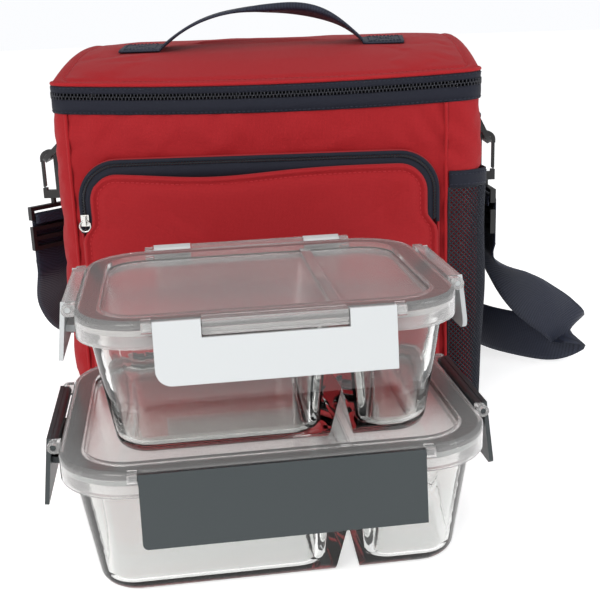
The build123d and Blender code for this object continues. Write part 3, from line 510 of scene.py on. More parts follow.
# %% Outline, skinning and stitching helpers
HALF_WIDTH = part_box("body_cover")[1].x
HALF_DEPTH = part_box("body_cover")[1].y
CORNER = 0.015
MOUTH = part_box("mouth_tape")[1].z
MOUTH_SAG = 0.004               # the mouth hangs a little between its front corners
THREAD_RADIUS = 0.00032
THREAD_LIFT = 0.00012           # middle of a stitch above the cloth


def round_corner(half_x, half_y, radius, steps=10):
    """closed rounded rectangle from the rear middle towards -x: list of ((x, y), (nx, ny))"""
    made = [((0.0, half_y), (0.0, 1.0))]
    for cx, cy, start in ((-1, 1, 90), (-1, -1, 180), (1, -1, 270), (1, 1, 0)):
        for step in range(steps + 1):
            turn = math.radians(start + 90 * step / steps)
            normal = (math.cos(turn), math.sin(turn))
            made.append(((cx * (half_x - radius) + radius * normal[0],
                          cy * (half_y - radius) + radius * normal[1]), normal))
    made.append(made[0])
    return made


class Track:
    """line of places with outward directions, read at any distance along it"""

    def __init__(self, rows):
        self.places = np.array([r[0] for r in rows], float)
        self.normals = np.array([r[1] for r in rows], float)
        steps = np.linalg.norm(np.diff(self.places, axis=0), axis=1)
        self.reach = np.concatenate(([0.0], np.cumsum(steps)))
        self.length = float(self.reach[-1])

    def read(self, distance):
        """place and direction at one distance"""
        place = [np.interp(distance, self.reach, column) for column in self.places.T]
        normal = np.array([np.interp(distance, self.reach, column) for column in self.normals.T])
        return np.array(place), normal / (np.linalg.norm(normal) + 1e-12)


bag_track = Track(round_corner(HALF_WIDTH, HALF_DEPTH, CORNER))


def settle(x, y, z):
    """how far the front of the mouth and the lid's edge hang down, fading out downwards"""
    front = min(max(-y / HALF_DEPTH, 0.0), 1.0)
    fade = min(max((z - 0.150) / 0.075, 0.0), 1.0)
    return -MOUTH_SAG * (1 - (x / HALF_WIDTH) ** 2) * front * fade


def new_piece(name, verts, faces, materials, body, stands_for=(), smooth=True):
    """mesh piece with its finish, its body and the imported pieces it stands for"""
    mesh = bpy.data.meshes.new(name)
    mesh.from_pydata([tuple(map(float, v)) for v in verts], [], faces)
    mesh.update()
    builder = bmesh.new()
    builder.from_mesh(mesh)
    bmesh.ops.remove_doubles(builder, verts=builder.verts, dist=1e-6)
    bmesh.ops.recalc_face_normals(builder, faces=builder.faces)
    builder.to_mesh(mesh)
    builder.free()
    for polygon in mesh.polygons:
        polygon.use_smooth = smooth
    for material in materials:
        mesh.materials.append(material)
    piece = bpy.data.objects.new(name, mesh)
    scene.collection.objects.link(piece)
    if body:
        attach(piece, body)
    if stands_for:
        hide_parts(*stands_for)
    return piece


def skin_rows(rows, ring=True, closed=False):
    """faces between rows of equal length; ring joins each row's ends, closed joins last to first"""
    faces, wide = [], len(rows[0])
    for r in range(len(rows) if closed else len(rows) - 1):
        low, high = r * wide, ((r + 1) % len(rows)) * wide
        for c in range(wide if ring else wide - 1):
            following = (c + 1) % wide
            faces.append((low + c, low + following, high + following, high + c))
    return [v for row in rows for v in row], faces


def band(name, track, start, end, profile, material, body, stands_for=(), step=0.004,
         closed=False, shape=None):
    """profile of (outward, z) points carried along a track, its ends capped unless it is closed"""
    count = max(2, int(round((end - start) / step)))
    rows = []
    for number in range(count if closed else count + 1):
        place, normal = track.read(start + (end - start) * number / count)
        row = []
        for out, z in profile:
            x, y = place[0] + normal[0] * out, place[1] + normal[1] * out
            row.append((x, y, z + settle(x, y, z)))
        rows.append(shape(row, number / count) if shape else row)
    verts, faces = skin_rows(rows, True, closed)
    if not closed:
        wide = len(profile)
        faces += [tuple(range(wide)), tuple(range(len(verts) - wide, len(verts)))]
    return new_piece(name, verts, faces, [material], body, stands_for)


def tube(name, centres, radius, material, body, stands_for=(), sides=10, closed=False):
    """round tube along a line of centres"""
    centres = [Vector(c) for c in centres]
    rows = []
    for number, centre in enumerate(centres):
        before = centres[number - 1] if number or closed else centre
        after = centres[(number + 1) % len(centres)] if number + 1 < len(centres) or closed else centre
        along = (after - before).normalized()
        side = along.cross(Vector((0, 0, 1)) if abs(along.z) < 0.9 else Vector((0, 1, 0))).normalized()
        up = side.cross(along)
        rows.append([centre + radius * (math.cos(a) * side + math.sin(a) * up)
                     for a in (2 * math.pi * s / sides for s in range(sides))])
    verts, faces = skin_rows(rows, True, closed)
    if not closed:
        faces += [tuple(range(sides)), tuple(range(len(verts) - sides, len(verts)))]
    return new_piece(name, verts, faces, [material], body, stands_for)


def sew(name, line, material, body, pitch=0.0032, stitch=0.0022):
    """row of stitches: short thick threads that dip into the cloth at both ends
    line is a list of (place, outward direction)"""
    radius, lift = THREAD_RADIUS, THREAD_LIFT
    track = Track([(tuple(p), tuple(n)) for p, n in line])
    verts, faces = [], []
    for number in range(int(track.length / pitch)):
        middle = (number + 0.5) * pitch
        base = len(verts)
        for share, fat in ((-0.5, 0.25), (-0.32, 0.9), (0.0, 1.0), (0.32, 0.9), (0.5, 0.25)):
            place, normal = track.read(middle + share * stitch)
            nearby = track.read(middle + share * stitch + 1e-4)[0]
            along = nearby - place
            along /= np.linalg.norm(along) + 1e-12
            side = np.cross(along, normal)
            centre = place + normal * (lift - (1 - fat) * radius * 1.2)
            for a in range(6):
                turn = math.pi * a / 3
                verts.append(centre + radius * fat * (math.cos(turn) * side + math.sin(turn) * normal))
        for ring_number in range(4):
            for a in range(6):
                low, high = base + ring_number * 6, base + ring_number * 6 + 6
                faces.append((low + a, low + (a + 1) % 6, high + (a + 1) % 6, high + a))
        faces += [tuple(base + a for a in range(6)), tuple(base + 24 + a for a in range(6))]
    return new_piece(name, verts, faces, [material], body)


def bumpy(x, y, z, size, seed=0.0):
    """smooth noise from -1 to 1 with a cell size in metres"""
    return noise.noise(Vector((x / size + seed, y / size - seed, z / size + 2 * seed)))


print("outline", round(bag_track.length, 4), "m round")

# %% [markdown]
# ## Cloth that puckers by itself
# Sewn fabric never lies flat: it is held along its seams and is a little too long between them. The
# cloth solver does exactly this. Each soft piece is pinned along its seams, told to grow by a percent
# or two, and blown out lightly. The result is written into the mesh, with a limit on how far any
# point may move, and the solver is taken off again.


# %% Cloth solver
def pucker(piece, pins, grow=0.015, pressure=0.6, frames=18, limit=0.003, stiff=8.0):
    """let a piece buckle between its pinned points; pins are weights from 0 to 1, one per point"""
    group = piece.vertex_groups.new(name="seams")
    for number, weight in enumerate(pins):
        group.add([number], float(weight), "REPLACE")
    before = np.array([v.co for v in piece.data.vertices])
    facing = np.array([v.normal for v in piece.data.vertices])
    solver = piece.modifiers.new("pucker", "CLOTH")
    settings = solver.settings
    settings.quality = 6
    settings.mass = 0.25
    settings.tension_stiffness = settings.compression_stiffness = stiff
    settings.shear_stiffness = stiff * 0.6
    settings.bending_stiffness = 0.35
    settings.vertex_group_mass = "seams"
    settings.shrink_min = -grow
    settings.use_pressure = pressure > 0
    settings.uniform_pressure_force = pressure
    settings.effector_weights.gravity = 0
    solver.collision_settings.use_collision = False
    solver.point_cache.frame_start, solver.point_cache.frame_end = 1, frames
    for number in range(1, frames + 1):
        scene.frame_set(number)
    graph = bpy.context.evaluated_depsgraph_get()
    moved = piece.evaluated_get(graph).to_mesh()
    after = np.array([v.co for v in moved.vertices])
    piece.evaluated_get(graph).to_mesh_clear()
    piece.modifiers.remove(solver)
    piece.vertex_groups.clear()
    scene.frame_set(1)
    shift = after - before
    shift[~np.isfinite(shift)] = 0.0
    inward = np.minimum((shift * facing).sum(axis=1, keepdims=True) + 0.0001, 0.0)
    shift -= inward * facing
    far = np.linalg.norm(shift, axis=1, keepdims=True)
    shift *= limit * np.tanh(far / limit) / (far + 1e-12)
    for vertex, place in zip(piece.data.vertices, before + shift):
        vertex.co = place
    piece.data.update()
    print(piece.name, "moved up to", round(float(np.linalg.norm(shift, axis=1).max() * 1000), 2), "mm")


# %% [markdown]
# ## The bag's shell
# The real walls are woven polyester over soft foam. The shell is skinned from rings round the
# outline, with a rounded lower edge and a floor. Long soft waves come from smooth noise, short
# creases run down from the front right corner where the piping pulls, and the solver adds the rest.

# %% Shell and lining
SHELL_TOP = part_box("body_cover")[1].z
COVER = 0.0012
FOOT_ROUND = 0.006
SHELL_POINTS = 260              # in one ring round the bag
POCKET_LOW, POCKET_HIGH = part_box("pocket_gusset")
RIGHT_SEAM = 0.1232             # the right seam lies on the front, beside the mesh
MESH_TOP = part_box("mesh_binding")[1].z + 0.002
LEFT_SEAM = -0.1372
SEAM_PINNED = 0.003             # half width of what a seam holds still
TAB_Y = -0.040


def wall_swell(x, y, z):
    """outward shift of the wall: waves and creases, none where something is sewn on it"""
    up = z / SHELL_TOP
    free = min(1.0, up / 0.08) * min(1.0, (1 - up) / 0.10)
    wave = 0.0011 * bumpy(x, y, z, 0.055, 3.1) + 0.0005 * bumpy(x, y, z, 0.021, 7.7)
    swell = 0.0012 * math.sin(math.pi * up) + wave
    if y < -HALF_DEPTH + 0.004:
        over = z > POCKET_HIGH.z + 0.002 or x > POCKET_HIGH.x + 0.002 or x < POCKET_LOW.x - 0.001
        if not over or (x > RIGHT_SEAM and z < MESH_TOP):
            return 0.0
        near = math.exp(-((x - 0.118) / 0.028) ** 2)
        creases = math.sin((x * 0.9 + z * 0.75) * 330 + 2.6 * bumpy(x, 0, z, 0.03, 1.3))
        swell += near * 0.0013 * creases
        swell += 0.0008 * math.exp(-((x + 0.137) / 0.02) ** 2) * math.sin(z * 330)
    elif x > RIGHT_SEAM and z < MESH_TOP:
        return 0.0
    return max(min(swell, 0.0024), -0.0008) * max(free, 0.0)


def shell_rows(inset, low, top, swollen):
    """rings from the middle of the floor up to the top edge"""
    count = SHELL_POINTS
    rows = []
    floor_insets = [0.090, 0.060, 0.035, 0.018, 0.010]
    for extra in floor_insets:
        row = []
        for c in range(count):
            (x, y), (nx, ny) = bag_track.read(bag_track.length * c / count)
            share = 1 - extra / 0.1
            row.append((x * (1 - extra / HALF_WIDTH) if extra > 0.02 else x - nx * (inset + extra),
                        y * share if extra > 0.02 else y - ny * (inset + extra), low))
        rows.append(row)
    heights = [low + FOOT_ROUND * (1 - math.cos(math.radians(a))) for a in (15, 35, 55, 75, 90)]
    pulls = [FOOT_ROUND * (1 - math.sin(math.radians(a))) for a in (15, 35, 55, 75, 90)]
    steps = 62
    for k in range(1, steps + 1):
        heights.append(low + FOOT_ROUND + (top - low - FOOT_ROUND) * k / steps)
        pulls.append(0.0)
    for z, pull in zip(heights, pulls):
        row = []
        for c in range(count):
            (x, y), (nx, ny) = bag_track.read(bag_track.length * c / count)
            out = -inset - pull + (wall_swell(x, y, z) if swollen else 0.0)
            px, py = x + nx * out, y + ny * out
            row.append((px, py, z + settle(px, py, z)))
        rows.append(row)
    return rows


def shell(name, inset, low, top, material, stands_for, swollen):
    """one closed-bottomed cloth shell"""
    verts, faces = skin_rows(shell_rows(inset, low, top, swollen))
    faces.append(tuple(reversed(range(SHELL_POINTS))))
    return new_piece(name, verts, faces, [material], "bag_body", stands_for)


bag_shell = shell("bag_shell", 0.0, 0.0, SHELL_TOP, red_cloth, ("body_cover",), True)
pins = []
for vertex in bag_shell.data.vertices:
    x, y, z = vertex.co
    pocket = (y < -HALF_DEPTH + 0.003 and POCKET_LOW.x - 0.002 < x < POCKET_HIGH.x + 0.002 and z < POCKET_HIGH.z)
    mesh_side = x > RIGHT_SEAM and z < MESH_TOP
    tab = abs(y - TAB_Y) < 0.014 and abs(x) > 0.14 and z > 0.19
    piping = y < -0.09 and min(abs(x - LEFT_SEAM), abs(x - RIGHT_SEAM)) < SEAM_PINNED
    pins.append(1.0 if z < 0.008 or z > SHELL_TOP - 0.008 or pocket or mesh_side or tab or piping else 0.0)
pucker(bag_shell, pins, grow=0.02, pressure=1.2, limit=0.0028)
thick = bag_shell.modifiers.new("cloth_thickness", "SOLIDIFY")
thick.thickness, thick.offset = COVER, -1

liner_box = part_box("body_liner")
bag_lining = shell("bag_lining", HALF_WIDTH - liner_box[1].x + 0.0006, liner_box[0].z + 0.0006, SHELL_TOP - 0.0002,
                   lining_film, ("body_liner",), False)
for vertex in bag_lining.data.vertices:
    crumple = 0.0007 * bumpy(*vertex.co, 0.018, 5.0) + 0.0004 * bumpy(*vertex.co, 0.008, 2.0)
    if vertex.co.z < SHELL_TOP - 0.01:
        vertex.co += Vector((vertex.co.x, vertex.co.y, 0)).normalized() * (crumple - 0.0006)
thin = bag_lining.modifiers.new("film_thickness", "SOLIDIFY")
thin.thickness, thin.offset = 0.0005, -1
print("shell", len(bag_shell.data.vertices), "points")

# %% [markdown]
# ## Tapes, teeth and piping round the mouth
# The zipper's two navy tapes are folded over the edges of wall and lid. Each tooth is a small
# moulded block that reaches between its neighbours on the other tape, so both rows are staggered
# by half a pitch.

# %% Mouth tape, lid tape, piping and their stitches
LID_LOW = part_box("lid_teeth")[1].z
TAPE = 0.0012
WALL = 0.0078


def soft_tape(low, high, cap_low, cap_high, fold_top):
    """cross-section of a tape folded over an edge"""
    outer = [(0.0001, low), (TAPE * 0.9, low + 0.0002), (TAPE + 0.00015, (low + high) / 2),
             (TAPE, high - 0.0004), (TAPE * 0.75, high)]
    if fold_top:
        return outer + [(-WALL + 0.0004, cap_high), (-WALL, cap_high - 0.0004), (-WALL, cap_low), (0.0001, cap_low)]
    return [(-WALL, cap_low), (-WALL + 0.0004, low)] + [(TAPE * 0.75, low)] + [
        (TAPE, low + 0.0004), (TAPE + 0.00015, (low + high) / 2), (TAPE * 0.9, high - 0.0002),
        (0.0001, high), (0.0001, cap_high), (-WALL, cap_high)]


def tape_ripple(row, share):
    """slow ripple of a sewn tape"""
    x, y, _ = row[0]
    ripple = 0.00025 * bumpy(x, y, 0.3, 0.012, 9.0)
    out = Vector((x, y, 0)).normalized() * ripple
    return [(px + out.x, py + out.y, pz + ripple * 0.6) for px, py, pz in row]


mouth_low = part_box("mouth_tape")[0].z
band("mouth_tape_band", bag_track, 0, bag_track.length,
     soft_tape(mouth_low, MOUTH, MOUTH - 0.004, MOUTH, True), navy_cloth, "bag_body",
     ("mouth_tape",), closed=True, shape=tape_ripple)
lid_tape_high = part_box("lid_tape")[1].z
band("lid_tape_band", bag_track, 0, bag_track.length,
     soft_tape(LID_LOW, lid_tape_high, LID_LOW, LID_LOW + 0.003, False), navy_cloth, "bag_lid",
     ("lid_tape",), closed=True, shape=tape_ripple)


def track_line(track, start, end, out, z, step=0.003):
    """(place, outward direction) along a track at one height"""
    line = []
    for number in range(int((end - start) / step) + 1):
        (x, y), (nx, ny) = track.read(start + number * step)
        px, py = x + nx * out, y + ny * out
        line.append(((px, py, z + settle(px, py, z)), (nx, ny, 0.0)))
    return line


sew("mouth_tape_stitches", track_line(bag_track, 0, bag_track.length, TAPE, mouth_low + 0.0014), navy_thread,
    "bag_body")
sew("lid_tape_stitches", track_line(bag_track, 0, bag_track.length, TAPE, lid_tape_high - 0.0012), navy_thread,
    "bag_lid")
piping_line = [place for place, _ in track_line(bag_track, 0, bag_track.length - 0.004, 0.0002,
                                                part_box("lid_piping")[0].z + 0.0013, 0.004)]
tube("lid_piping_cord", piping_line, 0.0013, red_edge, "bag_lid", ("lid_piping",), closed=True)
print("tapes round the mouth at", round(MOUTH, 4), "and", round(LID_LOW, 4))

# %% Zipper teeth
TOOTH_PITCH = 0.0024


def teeth(name, places, material, body, stands_for):
    """small blocks with a waist; places are (centre, along, across, out, half sizes)"""
    verts, faces = [], []
    for centre, along, across, out, (half_along, half_across, half_out) in places:
        base = len(verts)
        for level, share in ((-1, 1.0), (-0.35, 0.72), (0.4, 0.8), (0.75, 1.1), (1, 0.8)):
            for a, b in ((-1, -0.7), (-0.7, -1), (0.7, -1), (1, -0.7), (1, 0.7), (0.7, 1), (-0.7, 1), (-1, 0.7)):
                verts.append(centre + across * half_across * level + along * half_along * a * share
                             + out * half_out * b * (0.9 if abs(level) == 1 else 1))
        for ring_number in range(4):
            low, high = base + 8 * ring_number, base + 8 * ring_number + 8
            faces += [(low + a, low + (a + 1) % 8, high + (a + 1) % 8, high + a) for a in range(8)]
        faces += [tuple(base + a for a in range(8)), tuple(base + 32 + a for a in range(8))]
    return new_piece(name, verts, faces, [material], body, stands_for)


def mouth_teeth(name, low, high, up, phase, body, stands_for):
    """one row along the front and both sides"""
    rear_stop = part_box("body_teeth")[1].y
    first = HALF_WIDTH - CORNER + CORNER * math.pi / 2 + HALF_DEPTH - CORNER - rear_stop
    last = bag_track.length - first
    places = []
    for number in range(int((last - first) / TOOTH_PITCH)):
        (x, y), (nx, ny) = bag_track.read(first + (number + phase) * TOOTH_PITCH)
        px, py = x + nx * 0.0005, y + ny * 0.0005
        middle = (low + high) / 2
        places.append((Vector((px, py, middle + settle(px, py, MOUTH))), Vector((-ny, nx, 0)),
                       Vector((0, 0, up)), Vector((nx, ny, 0)), (0.00052, (high - low) / 2, 0.0011)))
    return teeth(name, places, tooth_plastic, body, stands_for)


mouth_teeth("mouth_teeth", MOUTH - 0.0002, MOUTH + 0.0024, 1, 0.25, "bag_body", ("body_teeth",))
mouth_teeth("lid_edge_teeth", LID_LOW - 0.0024, LID_LOW + 0.0002, -1, 0.75, "bag_lid", ("lid_teeth",))
for hand, turn in (("left", -1), ("right", 1)):
    low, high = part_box(f"corner_piping_{hand}")
    middle = (low + high) / 2
    if turn > 0:
        middle.x, middle.y = RIGHT_SEAM, -HALF_DEPTH - 0.0011
    line = []
    for number in range(56):
        z = low.z + (high.z - low.z) * number / 55
        line.append((middle.x + 0.0005 * bumpy(turn, 0, z, 0.02, 4.0), middle.y, z + settle(middle.x, middle.y, z)))
    tube(f"corner_piping_cord_{hand}", line, 0.0013, red_edge, "bag_body", (f"corner_piping_{hand}",))
print("teeth and piping ready")
# %% [markdown]
# ## The padded lid
# The lid is a crowned pad: woven cover on top, foam inside and film below. It is skinned from rings
# that roll over the edge, so the film and the cover are one closed pad, and the solver fills it.

# %% Lid pad
LID_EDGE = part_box("lid_piping")[0].z + 0.0013
CROWN_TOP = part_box("lid_cover")[1].z
CROWN_PEAK_Y = 0.050
CROWN_RADIUS = ((HALF_DEPTH + CROWN_PEAK_Y) ** 2 + (CROWN_TOP - LID_EDGE) ** 2) / (2 * (CROWN_TOP - LID_EDGE))
LID_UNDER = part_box("lid_liner")[0].z
handle_low, handle_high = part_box("carry_handle")
HANDLE_X = (handle_low.x + handle_high.x) / 2
HANDLE_Y = (handle_low.y + handle_high.y) / 2
HANDLE_REACH = (handle_high.x - handle_low.x) / 2
HANDLE_SPAN = HANDLE_REACH - 0.030
SEAM_INSET = 0.0085


def crown(y):
    """height of the lid's top at one depth"""
    return CROWN_TOP - CROWN_RADIUS + math.sqrt(CROWN_RADIUS ** 2 - (y - CROWN_PEAK_Y) ** 2)


LID_POINTS = 240                # in one ring of the lid


def lid_rings(insets, height_at):
    """rings inside the outline, each at its own inset; wide insets shrink towards the middle"""
    rows = []
    for inset in insets:
        row = []
        for c in range(LID_POINTS):
            (x, y), (nx, ny) = bag_track.read(bag_track.length * c / LID_POINTS)
            near = min(inset, 0.013)
            px, py = x - nx * near, y - ny * near
            if inset > near:
                share = 1 - (inset - near) / (HALF_DEPTH - near)
                px, py = px * (1 - (1 - share) * HALF_DEPTH / HALF_WIDTH) if share > 0.02 else 0.35 * px, py * share
            row.append((px, py, height_at(px, py, inset)))
        rows.append(row)
    return rows


def lid_top(x, y, inset):
    """rolled edge, a groove under the top stitching and a soft fill"""
    roll = 0.0052
    drop = roll - math.sqrt(roll ** 2 - (roll - min(inset, roll)) ** 2)
    groove = 0.0011 * math.exp(-((inset - SEAM_INSET) / 0.0018) ** 2)
    fill = 0.0016 * min(1.0, max(inset - SEAM_INSET, 0) / 0.03)
    wave = (0.0007 * bumpy(x, y, 0, 0.05, 6.0) + 0.0003 * bumpy(x, y, 0, 0.02, 2.0)) * min(1.0, inset / 0.01)
    return crown(y) - drop - groove + fill + wave + settle(x, y, LID_EDGE) * max(0.0, 1 - inset / 0.06)


def lid_under(x, y, inset):
    """film under the pad"""
    return LID_UNDER + 0.0004 + 0.0006 * bumpy(x, y, 0, 0.02, 8.0) ** 2 + settle(x, y, LID_EDGE) * max(
        0.0, 1 - inset / 0.06)


top_insets = [0.0, 0.0008, 0.0018, 0.0032, 0.0048, 0.0062, 0.0074, SEAM_INSET, 0.0096, 0.0112, 0.013]
top_insets += [0.013 + 0.0029 * k for k in range(1, 29)]
rim = [[(x, y, LID_LOW + 0.003 + settle(x, y, LID_EDGE)) for x, y, _ in row] for row in lid_rings([0.0], lid_top)]
under = lid_rings([WALL + 0.0125 * k for k in range(7, -1, -1)], lid_under)
pad_rows = under + rim + lid_rings(top_insets, lid_top)
verts, faces = skin_rows(pad_rows)
faces += [tuple(range(LID_POINTS)), tuple(range(len(verts) - LID_POINTS, len(verts)))]
lid_pad = new_piece("lid_pad", verts, faces, [red_cloth, lining_film], "bag_lid",
                    ("lid_cover", "lid_foam", "lid_liner"))
for polygon in lid_pad.data.polygons:
    polygon.material_index = 1 if polygon.normal.z < -0.5 else 0


def from_edge(x, y):
    """distance in from the outline, near enough for pinning"""
    return min(HALF_WIDTH - abs(x), HALF_DEPTH - abs(y))


pins = []
for vertex in lid_pad.data.vertices:
    x, y, z = vertex.co
    under_pad = abs(y - HANDLE_Y) < 0.019 and HANDLE_SPAN - 0.004 < abs(x - HANDLE_X) < HANDLE_REACH + 0.004
    sewn = from_edge(x, y) < SEAM_INSET + 0.001
    pins.append(1.0 if z < LID_EDGE + 0.002 or sewn or under_pad or vertex.normal.z < 0 else 0.0)
pucker(lid_pad, pins, grow=0.012, pressure=1.0, limit=0.0030)


def lid_seam(inset, lift=0.0):
    """(place, upward direction) along the top of the lid"""
    line = []
    for x, y, z in lid_rings([inset], lid_top)[0] + lid_rings([inset], lid_top)[0][:1]:
        line.append(((x, y, z + lift), (0, 0, 1)))
    return line


sew("lid_top_stitches", lid_seam(SEAM_INSET, 0.0002), red_thread, "bag_lid", pitch=0.0036, stitch=0.0026)
fold_low, fold_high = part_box("lid_fold_strip")
rows = []
for k in range(9):
    z = fold_low.z + (LID_LOW + 0.004 - fold_low.z) * k / 8
    row = []
    for c in range(64):
        x = fold_low.x + (fold_high.x - fold_low.x) * c / 63
        row.append((x, fold_low.y + 0.0006 + 0.0002 * bumpy(x, 0, z, 0.012), z))
    rows.append(row)
verts, faces = skin_rows(rows, ring=False)
lid_fold = new_piece("lid_fold_cloth", verts, faces, [red_cloth], None, ("lid_fold_strip",))
fold_thick = lid_fold.modifiers.new("cloth_thickness", "SOLIDIFY")
fold_thick.thickness, fold_thick.offset = 0.0008, 0
print("lid pad", len(lid_pad.data.vertices), "points, top", round(CROWN_TOP, 4))

# %% [markdown]
# ## The front pocket
# The pocket stands off the bag on a narrow gusset. Its zipper runs up the left side, over the top
# and down the right side, between an outer and an inner tape. The panel inside the zipper is a
# padded cushion with a corded border, so it is skinned as a pad and puckered by the solver.

# %% Pocket outline
POCKET_CORNER = 0.028
ZIP_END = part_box("pocket_outer_tape")[0].z
FRONT_CLEARANCE = 0.0001
FRONT = -HALF_DEPTH - FRONT_CLEARANCE
GUSSET = -(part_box("pocket_gusset")[0].y - FRONT)
TAPE_FRONT = GUSSET + 0.0015
PANEL_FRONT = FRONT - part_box("pocket_panel")[0].y
left, right = POCKET_LOW.x, POCKET_HIGH.x
bottom, top = POCKET_LOW.z, POCKET_HIGH.z
rows = [((left, bottom), (-1, 0)), ((left, top - POCKET_CORNER), (-1, 0))]
rows += [((left + POCKET_CORNER - POCKET_CORNER * math.cos(a), top - POCKET_CORNER + POCKET_CORNER * math.sin(a)),
          (-math.cos(a), math.sin(a))) for a in (math.pi / 2 * k / 12 for k in range(1, 13))]
rows += [((right - POCKET_CORNER + POCKET_CORNER * math.sin(a), top - POCKET_CORNER + POCKET_CORNER * math.cos(a)),
          (math.sin(a), math.cos(a))) for a in (math.pi / 2 * k / 12 for k in range(0, 13))]
rows += [((right, bottom), (1, 0))]
pocket_track = Track(rows)
ZIP_START = ZIP_END - bottom
ZIP_STOP = pocket_track.length - ZIP_START


def dip(x, z):
    """how far the panel's upper edge sags, most in its left half"""
    if z < top - 0.012:
        return 0.0
    return 0.0050 * math.exp(-((x + 0.040) / 0.055) ** 2)


def pocket_place(distance, inset, depth):
    """place on the pocket, inset from its outline and so deep in front of the bag"""
    (x, z), (nx, nz) = pocket_track.read(distance)
    return (x - nx * inset, FRONT - depth, z - nz * inset), (nx, nz)


def pocket_strip(name, start, end, profile, material, body, stands_for, wave=0.0002, step=0.004):
    """profile of (inset, depth) carried along the pocket's outline"""
    count = int((end - start) / step)
    rows = []
    for number in range(count + 1):
        distance = start + (end - start) * number / count
        row = []
        for inset, depth in profile:
            (x, y, z), _ = pocket_place(distance, inset, depth)
            row.append((x, y - wave * bumpy(x, 0, z, 0.014, inset * 90), z))
        rows.append(row)
    verts, faces = skin_rows(rows)
    wide = len(profile)
    faces += [tuple(range(wide)), tuple(range(len(verts) - wide, len(verts)))]
    return new_piece(name, verts, faces, [material], body, stands_for)


pocket_strip("pocket_gusset_cloth", 0, pocket_track.length,
             [(0.0, 0.0), (-0.0003, 0.002), (-0.0006, 0.0035), (-0.0002, 0.0055), (0.0002, GUSSET), (0.0014, GUSSET),
              (0.0014, 0.0)], red_cloth, "bag_body", ("pocket_gusset",), 0.0)
pocket_strip("pocket_outer_band", ZIP_START, ZIP_STOP,
             [(0.0, GUSSET), (-0.0002, GUSSET + 0.0007), (0.0003, TAPE_FRONT), (0.0022, TAPE_FRONT + 0.0001),
              (0.0026, TAPE_FRONT - 0.0004), (0.0026, GUSSET)], navy_cloth, "bag_body",
             ("pocket_outer_tape",))
pocket_strip("pocket_inner_band", ZIP_START, ZIP_STOP,
             [(0.0044, GUSSET), (0.0044, TAPE_FRONT - 0.0004), (0.0048, TAPE_FRONT + 0.0001),
              (0.0140, TAPE_FRONT - 0.0002), (0.0140, GUSSET)], navy_cloth, "bag_body",
             ("pocket_inner_tape",))


def pocket_teeth(name, inset, inward, phase, stands_for):
    """one row of small teeth"""
    pitch = 0.0020
    places = []
    for number in range(int((ZIP_STOP - ZIP_START) / pitch)):
        centre, (nx, nz) = pocket_place(ZIP_START + (number + phase) * pitch, inset, GUSSET + 0.0010)
        places.append((Vector(centre), Vector((nz, 0, -nx)), Vector((-nx * inward, 0, -nz * inward)),
                       Vector((0, -1, 0)), (0.00045, 0.00075, 0.0010)))
    return teeth(name, places, tooth_plastic, "bag_body", stands_for)


pocket_teeth("pocket_outer_row", 0.0031, 1, 0.25, ("pocket_outer_teeth",))
pocket_teeth("pocket_inner_row", 0.0039, -1, 0.75, ("pocket_inner_teeth",))
print("pocket zipper", round(ZIP_STOP - ZIP_START, 4), "m long")

# %% Pocket panel
BORDER = 0.0085


def panel_profile(rest):
    """depth of the panel at a distance in from its own border: cord, groove, then the fill"""
    cord = 0.0016 * math.exp(-((rest - 0.0018) / 0.0014) ** 2)
    groove = -0.0007 * math.exp(-((rest - 0.0050) / 0.0012) ** 2)
    lift = (PANEL_FRONT - TAPE_FRONT) * min(1.0, 0.45 + rest / 0.018)
    return TAPE_FRONT + lift + cord + groove


panel_rests = [0.0, 0.0007, 0.0014, 0.0022, 0.0030, 0.0040, 0.0050, 0.0062, 0.0080, 0.0105, 0.0135, 0.017]
RING_POINTS = 190               # in one ring, of which these run along the outline:
OUTLINE_POINTS = 150
middle_x, middle_z = (left + right) / 2, (bottom + top) / 2


def panel_ring(rest, share, depth_of):
    """one closed ring of the panel, its lower side straight"""
    ring_points = []
    for c in range(OUTLINE_POINTS + 1):
        distance = pocket_track.length * c / OUTLINE_POINTS
        (x, z), (nx, nz) = pocket_track.read(distance)
        cover = min(1.0, max(0.0, (z - ZIP_END + 0.004) / 0.010))
        inset = 0.0012 + (BORDER - 0.0012) * cover + dip(x, z) + rest
        ring_points.append((x - nx * inset, max(z - nz * inset, bottom + rest)))
    x0, x1 = ring_points[-1][0], ring_points[0][0]
    for c in range(1, RING_POINTS - OUTLINE_POINTS):
        share_along = c / (RING_POINTS - OUTLINE_POINTS)
        ring_points.append((x0 + (x1 - x0) * share_along, bottom + rest))
    row = []
    for x, z in ring_points:
        px = middle_x + (x - middle_x) * share
        pz = middle_z + (z - middle_z) * share
        row.append((px, FRONT - depth_of(px, pz, rest), pz))
    return row


def panel_depth(x, z, rest):
    """border profile, a full middle and slow waves"""
    u = (x - middle_x) / (right - left) * 2
    v = (z - middle_z) / (top - bottom) * 2
    full = 0.0030 * max(0.0, 1 - u ** 4) * max(0.0, 1 - v ** 4) * (0.35 + 0.65 * min(1.0, max(0.0, (z - 0.085) / 0.03)))
    wave = 0.0007 * bumpy(x, 0, z, 0.045, 2.5) + 0.0003 * bumpy(x, 0, z, 0.018, 4.5)
    inside = min(1.0, rest / 0.012)
    return panel_profile(rest) + (full + wave) * inside


